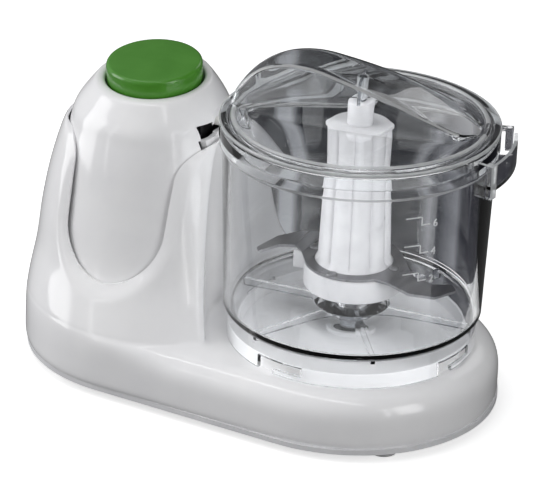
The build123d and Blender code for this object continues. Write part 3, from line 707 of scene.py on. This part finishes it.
# button
button = {"radius": 22.9, "skirt": -13.9, "wall": 2.0, "edgeR": 1.9}
shape = bmesh.new()
cap = [(0.0, 0.0), (8.0, -0.02), (15.0, -0.1), (button["radius"] - button["edgeR"], -0.25)]
for k in range(1, 8):
    angle = radians(90 * k / 7)
    cap.append((button["radius"] - button["edgeR"] * (1 - sin(angle)),
                -0.25 - button["edgeR"] * (1 - cos(angle))))
cap += [(button["radius"], -6.0), (button["radius"], button["skirt"] + 0.3),
        (button["radius"] - 0.3, button["skirt"]),
        (button["radius"] - button["wall"], button["skirt"]), (button["radius"] - button["wall"], -2.6),
        (6.5, -2.6),
        (6.5, -8.0), (4.0, -8.0), (4.0, -4.0), (0.0, -4.0)]
line = [shape.verts.new((r * mm, 0, z * mm)) for r, z in cap]
edges = [shape.edges.new((a, b)) for a, b in zip(line, line[1:])]
bmesh.ops.spin(shape, geom=line + edges, cent=(0, 0, 0), axis=(0, 0, 1), angle=2 * pi, steps=128,
               use_merge=True)
bmesh.ops.remove_doubles(shape, verts=shape.verts, dist=0.005 * mm)
bmesh.ops.transform(shape, verts=shape.verts, matrix=buttonPlace)
newPiece("pushButton", shape, "button", "glossGreenAbs", ["button_cap"], 50)

# return spring: an open coil on the well's floor; the real spring shortens by the button's travel, but this coil
# is built at one length
spring = {"coilR": 5.2, "wireR": 0.4, "turns": 4, "steps": 28, "floor": -19.0, "low": -18.55, "high": -8.45,
          "travel": 3.5}
shape = bmesh.new()
wire = bmesh.ops.create_circle(shape, cap_ends=True, segments=10, radius=spring["wireR"] * mm)["verts"]
bmesh.ops.rotate(shape, verts=wire, cent=(0, 0, 0), matrix=Matrix.Rotation(pi / 2, 3, "X"))
bmesh.ops.translate(shape, verts=wire, vec=(spring["coilR"] * mm, 0, spring["low"] * mm))
coilSteps = spring["turns"] * spring["steps"]
bmesh.ops.spin(shape, geom=shape.faces[:] + shape.edges[:] + shape.verts[:], cent=(0, 0, 0), axis=(0, 0, 1),
               dvec=(0, 0, (spring["high"] - spring["low"]) / coilSteps * mm),
               angle=2 * pi * spring["turns"],
               steps=coilSteps, use_merge=False)
bmesh.ops.transform(shape, verts=shape.verts, matrix=buttonPlace)
coil = newPiece("returnSpring", shape, "base", slotFinish[slotOf["button_spring"]],
                ["button_spring"], 50)
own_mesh(coil)
print("button and return spring")

# bowl
bowl = {"steps": 192, "low": 31.65, "floor": 47.0, "pocketR": 72.5, "pocketWall": 1.6, "pocketLow": 124.7,
        "pocketTop": 137.0, "lugLow": 121.0, "pocketStart": -8.0, "pocketAngle": 35.0,
        "ribs": 6, "ribSize": (48.5, 2.0, 3.5), "ribPlace": (33.25, 0, 45.75), "ribTurn": 7, "windows": 4,
        "windowTurn": -19.5}
bowlProfile = [(57.0, 31.65), (59.0, 31.65), (59.0, 46.0), (60.8, 47.8), (63.4, 127.6), (64.8, 129.0),
               (64.8, 139.0),
               (61.3, 139.0), (58.5, 49.9), (57.2, 48.8), (18.5, 48.8), (9.5, 52.6), (9.5, 92.0),
               (7.2, 92.0), (7.2, 43.0),
               (9.5, 43.0), (9.5, 47.0), (57.0, 47.0), (57.0, 31.65)]
bowlPiece = looseObject(spunShape(rounded(bowlProfile, 0.55, 3), bowl["steps"]), "bowlMoulding")
low, top, outer, thick = bowl["pocketLow"], bowl["pocketTop"], bowl["pocketR"], bowl["pocketWall"]
start, turned = bowl["pocketStart"], bowl["pocketAngle"]
for parts in ((63.0, outer - 0.3, bowl["lugLow"], top, start, start + 1.6),
              (outer - 4, outer, bowl["lugLow"], top, start, start + 3.5),
              (outer - thick, outer, low, top, start, start + turned),
              (63.0, outer, low, low + thick, start, start + turned),
              (62.5, 70.5, 117.5, 131.0, 180, 182.2)):
    tool = bmesh.new()
    arcBlock(tool, *parts, 16)
    combine(bowlPiece, looseObject(tool), "UNION")
for k in range(bowl["ribs"]):
    tool = bmesh.new()
    bmesh.ops.create_cube(tool, size=1.0)
    bmesh.ops.scale(tool, verts=tool.verts, vec=Vector(bowl["ribSize"]) * mm)
    bmesh.ops.translate(tool, verts=tool.verts, vec=Vector(bowl["ribPlace"]) * mm)
    turnOut(tool, tool.verts, bowl["ribTurn"] + 360 / bowl["ribs"] * k)
    combine(bowlPiece, looseObject(tool), "UNION")
for k in range(bowl["windows"]):
    start = 90 * k + bowl["windowTurn"]
    tool = arcBlock(bmesh.new(), 56.0, 60.0, 33.9, 38.5, start, start + 24.0, 12)
    combine(bowlPiece, looseObject(tool), "DIFFERENCE")
    tool = arcBlock(bmesh.new(), 56.0, 60.0, 30.5, 34.5, start, start + 9.0, 6)
    combine(bowlPiece, looseObject(tool), "DIFFERENCE")
softenShading(bowlPiece, 30)
hang(bowlPiece, "bowlMoulding", "bowl", ["polishedClearSan", "paintedHighlightEdge"], "bowl")
# painted highlight: the collar band, the pocket tops and the foot ring get the pale edge finish
for face in bowlPiece.data.polygons:
    x, y, z = face.center
    far, z = hypot(x - bowlX, y) / mm, z / mm
    onCollar = 63.3 < far and 127.4 < z < 129.3
    onPocket = far > 65.5 and abs(face.normal.z) > 0.9 and z > 136
    face.material_index = int(onCollar or onPocket or z < 32.0)
bowlPiece.visible_shadow = False
print("bowl", len(bowlPiece.data.polygons), "faces")

# raised measuring marks on the wall: stepped lines with generic numbers
marks = {"tall": 0.45, "angle": -43.0, "digitSize": 5.2, "digitDeep": 0.12, "digitTurn": 13.6,
         "digitDrop": 5.6,
          "levels": [(90, "2"), (104, "4"), (118, "6")]}


def wallR(z):
    return 60.8 + (z - 47.8) * (63.4 - 60.8) / (127.6 - 47.8) + 0.02


shape = bmesh.new()
for z, number in marks["levels"]:
    r = wallR(z)
    arcBlock(shape, r - 0.1, r + 0.18, z, z + marks["tall"], marks["angle"], marks["angle"] + 7, 6)
    arcBlock(shape, r - 0.1, r + 0.18, z - 4, z, marks["angle"] + 7, marks["angle"] + 7.45, 2)
    arcBlock(shape, r - 0.1, r + 0.18, z - 4, z - 4 + marks["tall"], marks["angle"] + 7,
             marks["angle"] + 11, 4)
newPiece("measureLines", shape, "bowl", "frostedSanMark",
         smoothAngle=30).visible_shadow = False
for z, number in marks["levels"]:
    curve = bpy.data.curves.new("number", "FONT")
    curve.body = number
    curve.size = marks["digitSize"] * mm
    curve.extrude = marks["digitDeep"] * mm
    curve.align_x = "CENTER"
    text = bpy.data.objects.new("number", curve)
    scene.collection.objects.link(text)
    bpy.context.view_layer.update()
    mesh = bpy.data.meshes.new_from_object(text.evaluated_get(bpy.context.evaluated_depsgraph_get()))
    bpy.data.objects.remove(text)
    angle = radians(marks["angle"] + marks["digitTurn"])
    facing = Matrix.Rotation(angle + pi / 2, 4, "Z") @ Matrix.Rotation(pi / 2, 4, "X")
    spot = Matrix.Translation((bowlX + wallR(z) * cos(angle) * mm, wallR(z) * sin(angle) * mm,
                               (z - marks["digitDrop"]) * mm))
    mesh.transform(spot @ facing)
    mesh.materials.clear()
    mesh.materials.append(made["frostedSanMark"])
    digit = bpy.data.objects.new("measureNumber" + number, mesh)
    scene.collection.objects.link(digit)
    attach(digit, "bowl")
    digit.visible_shadow = False
print("measuring marks", len(marks["levels"]))

# blade unit
hub = {"columns": 180, "flutes": 10, "fluteDeep": 1.7, "spigotTop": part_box("blade_hub")[1].z / mm,
       "plateTurn": 24, "finTurn": 7, "finSize": (9, 1.8, 8.4), "finPlace": (26, 0, 63.5), "finEdge": 0.5}


def hubShape():
    shape = bmesh.new()
    count = hub["columns"]

    def loop(z, radius, deep):
        row = []
        for i in range(count):
            angle = 2 * pi * i / count
            wave = abs(sin(hub["flutes"] * angle / 2)) ** 0.6
            r = radius - deep * (1 - wave)
            row.append(shape.verts.new((bowlX + r * cos(angle) * mm, r * sin(angle) * mm, z * mm)))
        return row
    d = hub["fluteDeep"]
    tip = hub["spigotTop"]
    column = [(57.5, 20.5, 0), (57.3, 21.2, 0), (57.3, 22.9, 0), (57.9, 23.5, 0), (68.0, 23.5, 0),
              (68.68, 22.9, 0),
              (68.7, 19.4, 0), (69.4, 18.2, 0.1), (71.5, 17.3, d), (90, 16.6, d), (115, 15.8, d),
              (133, 15.1, d),
              (136.0, 14.9, d * 0.6), (137.6, 14.4, 0), (138.4, 12.5, 0), (138.4, 6.6, 0), (138.6, 6.15, 0),
              (139.4, 6.0, 0), (tip - 0.7, 6.0, 0), (tip - 0.15, 5.7, 0), (tip, 5.2, 0), (tip, 2.6, 0),
              (tip - 0.2, 2.2, 0),
              (tip - 1.0, 2.1, 0), (142.0, 2.1, 0), (142.0, 0.05, 0)]
    rows = [loop(*step) for step in column]
    skin(shape, rows, True)
    shape.faces.new(rows[-1])
    # hollow of the hub, open below
    inner = [(57.5, 20.5, 0), (60.0, 12.2, 0), (92.0, 11.6, 0), (108.0, 11.5, 0), (108.5, 0.05, 0)]
    hollow = [rows[0]] + [loop(*step) for step in inner[1:]]
    skin(shape, hollow, True)
    shape.faces.new(hollow[-1])
    return shape


shape = hubShape()
# thin leaf plate on top, drawn out to a point at each side
plateRing = []
for i in range(96):
    angle = 2 * pi * i / 96
    wide = 14.1 + 1.6 * max(0.0, cos(angle * 2)) ** 10 * (abs(cos(angle)) ** 6)
    plateRing.append((wide * cos(angle), min(13.2, max(-13.2, wide * sin(angle)))))
low = [shape.verts.new((bowlX + x * mm, y * mm, 137.5 * mm)) for x, y in plateRing]
high = [shape.verts.new((bowlX + x * mm, y * mm, 138.9 * mm)) for x, y in plateRing]
inset = [shape.verts.new((bowlX + x * 0.965 * mm, y * 0.965 * mm, 139.15 * mm)) for x, y in plateRing]
under = [shape.verts.new((bowlX + x * 0.965 * mm, y * 0.965 * mm, 137.3 * mm)) for x, y in plateRing]
plateVerts = low + high + inset + under
skin(shape, [under, low, high, inset], True)
shape.faces.new(inset)
shape.faces.new(under[::-1])
bmesh.ops.rotate(shape, verts=plateVerts, cent=(bowlX, 0, 0),
                 matrix=Matrix.Rotation(radians(hub["plateTurn"]), 3, "Z"))
for k in range(2):
    fin = bmesh.ops.create_cube(shape, size=1.0)["verts"]
    bmesh.ops.scale(shape, verts=fin, vec=Vector(hub["finSize"]) * mm)
    bmesh.ops.translate(shape, verts=fin, vec=Vector(hub["finPlace"]) * mm)
    turnOut(shape, fin, hub["finTurn"] + 180 * k)
    finEdges = [e for e in shape.edges if e.verts[0] in fin and e.verts[1] in fin]
    bmesh.ops.bevel(shape, geom=finEdges, offset=hub["finEdge"] * mm, affect="EDGES", segments=3,
                    profile=0.5, material=-1)
newPiece("bladeHub", shape, "blade", "milkyPolypropylene", ["blade_hub"], 40)

# steel cup ring under the disc, round the bowl's centre tube
shape = spunShape(rounded([(9.6, 52.4), (12.2, 51.6), (13.4, 52.2), (15.4, 55.2), (15.6, 56.7),
                           (14.6, 56.8), (13.6, 55.0),
                           (9.6, 54.4), (9.6, 52.4)], 0.35, 3), 96)
newPiece("tubeCollar", shape, "bowl", slotFinish[slotOf["bowl_boss_ring"]],
         ["bowl_boss_ring"], 50)

# domed rivet heads
shape = bmesh.new()
rivet = {"angles": (0, 88, 180, 268), "circleR": 20.8, "size": (2.6, 2.6, 0.9), "height": 70.0}
for angle in rivet["angles"]:
    x, y = rivet["circleR"] * cos(radians(angle)), rivet["circleR"] * sin(radians(angle))
    head = bmesh.ops.create_uvsphere(shape, u_segments=32, v_segments=16, radius=1.0)["verts"]
    bmesh.ops.scale(shape, verts=head, vec=Vector(rivet["size"]) * mm)
    bmesh.ops.translate(shape, verts=head, vec=(bowlX + x * mm, y * mm, rivet["height"] * mm))
newPiece("rivetHeads", shape, "blade", slotFinish[slotOf["blade_rivets"]],
         ["blade_rivets"])
print("blade unit")

# lid
lidLook = {"turn": 18.0, "length": 61.0, "height": 27.4, "base": 141.2, "wall": 1.7,
           "columns": 57}
ridgeSide = [(-1.0, 0.0), (-0.96, 0.3), (-0.8, 0.74), (-0.6, 0.965), (-0.37, 1.0), (-0.14, 0.89),
             (0.27, 0.61), (0.56, 0.35),
             (0.78, 0.135), (0.92, 0.0)]
ridgeLeaf = [(-1.0, 0.03), (-0.8, 0.11), (-0.6, 0.18), (-0.37, 0.235), (0.0, 0.29), (0.3, 0.315),
             (0.56, 0.315),
             (0.78, 0.27), (0.92, 0.1)]


def ridgeShape():
    # arched hollow: top strip along the arch, a rounded shoulder, then scooped walls down to the plate
    s = lidLook
    shape = bmesh.new()
    rows = []
    for k in range(s["columns"]):
        run = -0.995 + 1.91 * k / (s["columns"] - 1)
        high = max(0.0, easedThrough(ridgeSide, run)) * s["height"]
        wide = max(0.02, easedThrough(ridgeLeaf, run)) * s["length"]
        row = []
        soft = min(1.6, high * 0.4 + 0.05)
        arcs = [(wide, -0.6), (wide - 0.1, high * 0.25), (wide - 0.5, high * 0.6)]
        for j in range(5):
            angle = radians(90 * j / 4)
            arcs.append((wide - 0.7 - soft * (1 - cos(angle)),
                         max(0.0, high - soft + soft * sin(angle) - 0.35)))
        arcs += [(wide * 0.6, high - 0.15), (wide * 0.3, high - 0.03)]
        full = [(y, z) for y, z in arcs] + [(0.0, high)] + [(-y, z) for y, z in arcs[::-1]]
        for y, z in full:
            row.append(shape.verts.new((run * s["length"] * mm, y * mm, (s["base"] + z) * mm)))
        rows.append(row)
    skin(shape, rows, False)
    turnOut(shape, shape.verts, s["turn"])
    return shape


def closedRidge(shrink):
    # the same arch as a closed block, for the hollow and for joining it to the plate
    shape = ridgeShape()
    bmesh.ops.recalc_face_normals(shape, faces=shape.faces)
    if shrink:
        shape.normal_update()
        if sum(f.normal.z * f.calc_area() for f in shape.faces) < 0:
            bmesh.ops.reverse_faces(shape, faces=shape.faces)
        shape.normal_update()
        for v in shape.verts:
            v.co -= v.normal * shrink * mm
    rimEdges = [e for e in shape.edges if e.is_boundary]
    pushed = bmesh.ops.extrude_edge_only(shape, edges=rimEdges)
    verts = [g for g in pushed["geom"] if isinstance(g, bmesh.types.BMVert)]
    for v in verts:
        v.co.z = (lidLook["base"] - (4.5 if shrink else 1.0)) * mm
    rimEdges = [e for e in shape.edges if e.is_boundary]
    bmesh.ops.holes_fill(shape, edges=rimEdges, sides=0)
    bmesh.ops.triangulate(shape, faces=[f for f in shape.faces if len(f.verts) > 4])
    return shape


plate = [(0.0, 139.2), (58.7, 139.2), (58.2, 131.4), (60.2, 131.4), (60.9, 139.1), (61.4, 139.3),
         (65.0, 139.3), (65.0, 141.2),
         (59.8, 141.2), (59.2, 142.4), (57.8, 142.4), (57.2, 141.2), (0.0, 141.2)]
lidPiece = looseObject(spunShape(rounded(plate, 0.85, 4), 192), "lid")
combine(lidPiece, looseObject(closedRidge(0)), "UNION")
combine(lidPiece, looseObject(closedRidge(lidLook["wall"])), "DIFFERENCE")


def blockTool(x0, x1, y0, y1, z0, z1, turned, softEdge=0.0):
    tool = bmesh.new()
    verts = bmesh.ops.create_cube(tool, size=1.0)["verts"]
    bmesh.ops.scale(tool, verts=verts, vec=((x1 - x0) * mm, (y1 - y0) * mm, (z1 - z0) * mm))
    bmesh.ops.translate(tool, verts=verts, vec=((x0 + x1) / 2 * mm, (y0 + y1) / 2 * mm, (z0 + z1) / 2 * mm))
    if softEdge:
        bmesh.ops.bevel(tool, geom=list(tool.edges), offset=softEdge * mm, affect="EDGES", segments=2,
                        profile=0.5, material=-1)
    turnOut(tool, tool.verts, turned)
    return looseObject(tool)


crossLow, crossHigh = hub["spigotTop"] + 0.7, 161.0
combine(lidPiece, blockTool(-10, 10, -0.7, 0.7, crossLow, crossHigh, lidLook["turn"]), "UNION")
combine(lidPiece, blockTool(-0.7, 0.7, -8, 8, crossLow, crossHigh, lidLook["turn"]), "UNION")
tool = bmesh.new()
bmesh.ops.create_cone(tool, cap_ends=True, segments=32, radius1=2.4 * mm, radius2=2.8 * mm,
                      depth=(crossHigh - crossLow + 0.3) * mm)
bmesh.ops.translate(tool, verts=tool.verts, vec=(bowlX, 0, (crossHigh + crossLow) / 2 * mm))
combine(lidPiece, looseObject(tool), "UNION")
combine(lidPiece, blockTool(63.5, 70.3, -3.5, 0, 139.4, 141.1, 26, 0.3), "UNION")
combine(lidPiece, blockTool(66.6, 70.2, -3.4, -0.1, 129.7, 141.0, 26, 0.3), "UNION")
softenShading(lidPiece, 32)
hang(lidPiece, "lidMoulding", "lid", ["polishedClearSan", "paintedHighlightEdge"], "lid")
turnBack = Matrix.Rotation(-radians(lidLook["turn"]), 3, "Z")
# painted highlight: the ridge's shoulder, the cross and the flange edges get the pale edge finish
for face in lidPiece.data.polygons:
    spot = turnBack @ (face.center - Vector((bowlX, 0, 0)))
    along, aside, z = spot.x / mm, abs(spot.y) / mm, spot.z / mm
    far = hypot(along, aside)
    wide = easedThrough(ridgeLeaf, max(-1.0, min(0.92, along / lidLook["length"]))) * lidLook["length"]
    onShoulder = z > 144 and wide - 2.0 < aside < wide - 0.6 and face.normal.z > 0.25
    onCross = far < 3.4 and z < crossHigh - 1.5 and z > 145 or z < crossLow + 0.3 and z > 151 and far < 10.5
    onFlange = far > 64.3 and far < 65.5 or 57.4 < far < 59.6 and 141.3 < z < 142.6 and aside > wide
    face.material_index = int(onShoulder or onCross or onFlange)
lidPiece.visible_shadow = False
print("lid", len(lidPiece.data.polygons), "faces")

# camera, floor and light
view = {"azimuth": 28, "pitch": 25.06, "roll": 1.95, "distance": 1506.34 * mm, "aimHeight": 47 * mm,
        "aimRight": 40.25 * mm, "aimUp": 28.0 * mm, "lens": 216.1}
forward = Vector((-sin(radians(view["azimuth"])) * cos(radians(view["pitch"])),
                  cos(radians(view["azimuth"])) * cos(radians(view["pitch"])),
                  -sin(radians(view["pitch"]))))
level = forward.cross(Vector((0, 0, 1))).normalized()
raised = level.cross(forward)
roll = radians(view["roll"])
right = level * cos(roll) + raised * sin(roll)
up = raised * cos(roll) - level * sin(roll)
cameraData = bpy.data.cameras.new("camera")
cameraData.lens = view["lens"]
cameraData.sensor_width = 36
cameraData.clip_end = 20
camera = bpy.data.objects.new("camera", cameraData)
turn = Matrix((right, up, -forward)).transposed()
camera.matrix_world = Matrix.Translation(Vector((bowlX, 0, view["aimHeight"])) - forward * view["distance"]
                                         - right * view["aimRight"] + up * view["aimUp"]) @ turn.to_4x4()
scene.collection.objects.link(camera)
scene.camera = camera

studio = {"floorSize": 6.0, "brightFrom": (-0.8, -0.35, 0.5),
          "sky": [(0.0, 0.07), (0.35, 0.16), (0.7, 0.42), (0.95, 0.65)]}
floorMesh = bpy.data.meshes.new("floor")
shape = bmesh.new()
bmesh.ops.create_grid(shape, x_segments=1, y_segments=1, size=studio["floorSize"])
shape.to_mesh(floorMesh)
shape.free()
floor = bpy.data.objects.new("floor", floorMesh)
scene.collection.objects.link(floor)
# matt painted board: pale and even
floorPaint, tree = emptyMaterial("paleMattBoard")
place = addNode(tree, "ShaderNodeTexCoord").outputs["Object"]
speck = addNode(tree, "ShaderNodeTexNoise", {"Scale": 40.0}, {"Vector": place}).outputs["Fac"]
shade = addNode(tree, "ShaderNodeValToRGB", None, {"Fac": speck})
shade.color_ramp.elements[0].color = linear("#f2f2f2")
shade.color_ramp.elements[1].color = linear("#f6f6f6")
paint = addNode(tree, "ShaderNodeBsdfPrincipled", {"Roughness": 0.9, "Specular IOR Level": 0.0,
                                                   "Emission Color": (1, 1, 1, 1),
                                                   "Emission Strength": 0.6},
                {"Base Color": shade.outputs["Color"]})
addNode(tree, "ShaderNodeOutputMaterial", None, {"Surface": paint.outputs["BSDF"]})
floorMesh.materials.append(floorPaint)
floor.visible_diffuse = False
floor.visible_glossy = False

world = bpy.data.worlds.new("studio")
world.use_nodes = True
tree = world.node_tree
facing = addNode(tree, "ShaderNodeTexCoord").outputs["Generated"]
side = addNode(tree, "ShaderNodeVectorMath", {"operation": "DOT_PRODUCT"}, {0: facing})
side.inputs[1].default_value = studio["brightFrom"]
sky = addNode(tree, "ShaderNodeValToRGB", None, {"Fac": side.outputs["Value"]})
while len(sky.color_ramp.elements) < len(studio["sky"]):
    sky.color_ramp.elements.new(0.5)
for stop, (at, bright) in zip(sky.color_ramp.elements, studio["sky"]):
    stop.position = at
    stop.color = (bright, bright, bright * 1.01, 1)
tree.links.new(sky.outputs["Color"], tree.nodes["Background"].inputs["Color"])
scene.world = world
scene.view_settings.view_transform = "Standard"
scene.cycles.max_bounces = 32
scene.cycles.transmission_bounces = 32


def softbox(name, place, aim, width, height, power):
    data = bpy.data.lights.new(name, "AREA")
    data.shape = "RECTANGLE"
    data.size = width
    data.size_y = height
    data.energy = power
    lamp = bpy.data.objects.new(name, data)
    turn = (Vector(aim) - Vector(place)).to_track_quat("-Z", "Y").to_matrix().to_4x4()
    lamp.matrix_world = Matrix.Translation(place) @ turn
    scene.collection.objects.link(lamp)
    return lamp


# place, aim, width, height in metres and power in watts
lights = {
    "topBox": ((-0.3, 0.1, 1.3), (0, 0, 0.05), 1.5, 1.2, 1.45),
    "leftBox": ((-1.3, -0.55, 0.5), (-0.05, 0, 0.08), 0.8, 1.2, 10.0),
    "frontFill": ((0.5, -1.3, 0.25), (0, 0, 0.04), 1.4, 0.6, 2.0),
    "backBox": ((0.12, 1.04, 0.74), (0.05, 0, 0.14), 0.45, 0.5, 0.9),
    "overheadStrip": ((-0.1, -0.25, 1.2), (0, 0, 0.1), 1.4, 0.05, 1.8),
    "leftStrip": ((-0.75, -1.15, 0.6), (0, 0, 0.09), 0.03, 1.1, 0.6),
    "rightStrip": ((1.15, -0.75, 0.55), (0, 0, 0.09), 0.04, 1.0, 1.0),
    "rightBox": ((1.2, -0.35, 0.5), (0.03, 0, 0.06), 0.45, 0.9, 5.2),
}
lamps = {name: softbox(name, *settings) for name, settings in lights.items()}
lamps["backBox"].visible_diffuse = False  # only a sheen on the right of the lid
lamps["frontFill"].visible_glossy = False  # lifts the shaded sides without a veil on the clear walls
print("camera, floor and", len(lamps), "lights")

# painted shade and painted reflections: a glowing board behind and beside the bowl, which only shows through its
# clear walls
board = {"low": 2, "high": 252,
         "line": [(-130, 100), (80, 100), (104, 92), (116, 74), (120, 50), (120, -70)]}
shape = bmesh.new()
line = [shape.verts.new((x * mm, y * mm, board["low"] * mm)) for x, y in board["line"]]
edges = [shape.edges.new((a, b)) for a, b in zip(line, line[1:])]
pushed = bmesh.ops.extrude_edge_only(shape, edges=edges)["geom"]
bmesh.ops.translate(shape, verts=[g for g in pushed if isinstance(g, bmesh.types.BMVert)],
                    vec=(0, 0, (board["high"] - board["low"]) * mm))
cardMesh = bpy.data.meshes.new("paintedShadeCard")
shape.to_mesh(cardMesh)
shape.free()
card = bpy.data.objects.new("paintedShadeCard", cardMesh)
card.matrix_world = Matrix.Translation((bowlX, 0, 0)) @ Matrix.Rotation(radians(view["azimuth"]), 4, "Z")
scene.collection.objects.link(card)
cardPaint, tree = emptyMaterial("paintedShadeBoard")
along = addNode(tree, "ShaderNodeTexCoord").outputs["Object"]
along = addNode(tree, "ShaderNodeSeparateXYZ", None, {"Vector": along}).outputs["X"]
across = addNode(tree, "ShaderNodeMapRange", {"From Min": -0.13, "From Max": 0.13},
                 {"Value": along}).outputs["Result"]
shades = addNode(tree, "ShaderNodeValToRGB", None, {"Fac": across})
# glowing shades across the board: dark painted shade with pale stripes of painted reflection
stops = [(0.0, "#8a8c90"), (0.3, "#2c2d30"), (0.34, "#2c2d30"), (0.352, "#9a9ca0"), (0.375, "#a2a4a8"),
         (0.392, "#2e2f33"), (0.5, "#26272a"), (0.64, "#2c2d31"), (0.665, "#8d8e92"), (0.685, "#3a3b40"),
         (0.71, "#6e6f74"), (0.73, "#85868b"), (0.745, "#2d2d34"), (1.0, "#37373f")]
while len(shades.color_ramp.elements) < len(stops):
    shades.color_ramp.elements.new(0.5)
for element, (at, code) in zip(shades.color_ramp.elements, stops):
    element.position = at
    element.color = linear(code)
glow = addNode(tree, "ShaderNodeEmission", {"Strength": 1.0}, {"Color": shades.outputs["Color"]})
addNode(tree, "ShaderNodeOutputMaterial", None, {"Surface": glow.outputs["Emission"]})
cardMesh.materials.append(cardPaint)
card.visible_camera = False
card.visible_diffuse = False
card.visible_glossy = False
card.visible_shadow = False
card.visible_volume_scatter = False

print("scene ready")
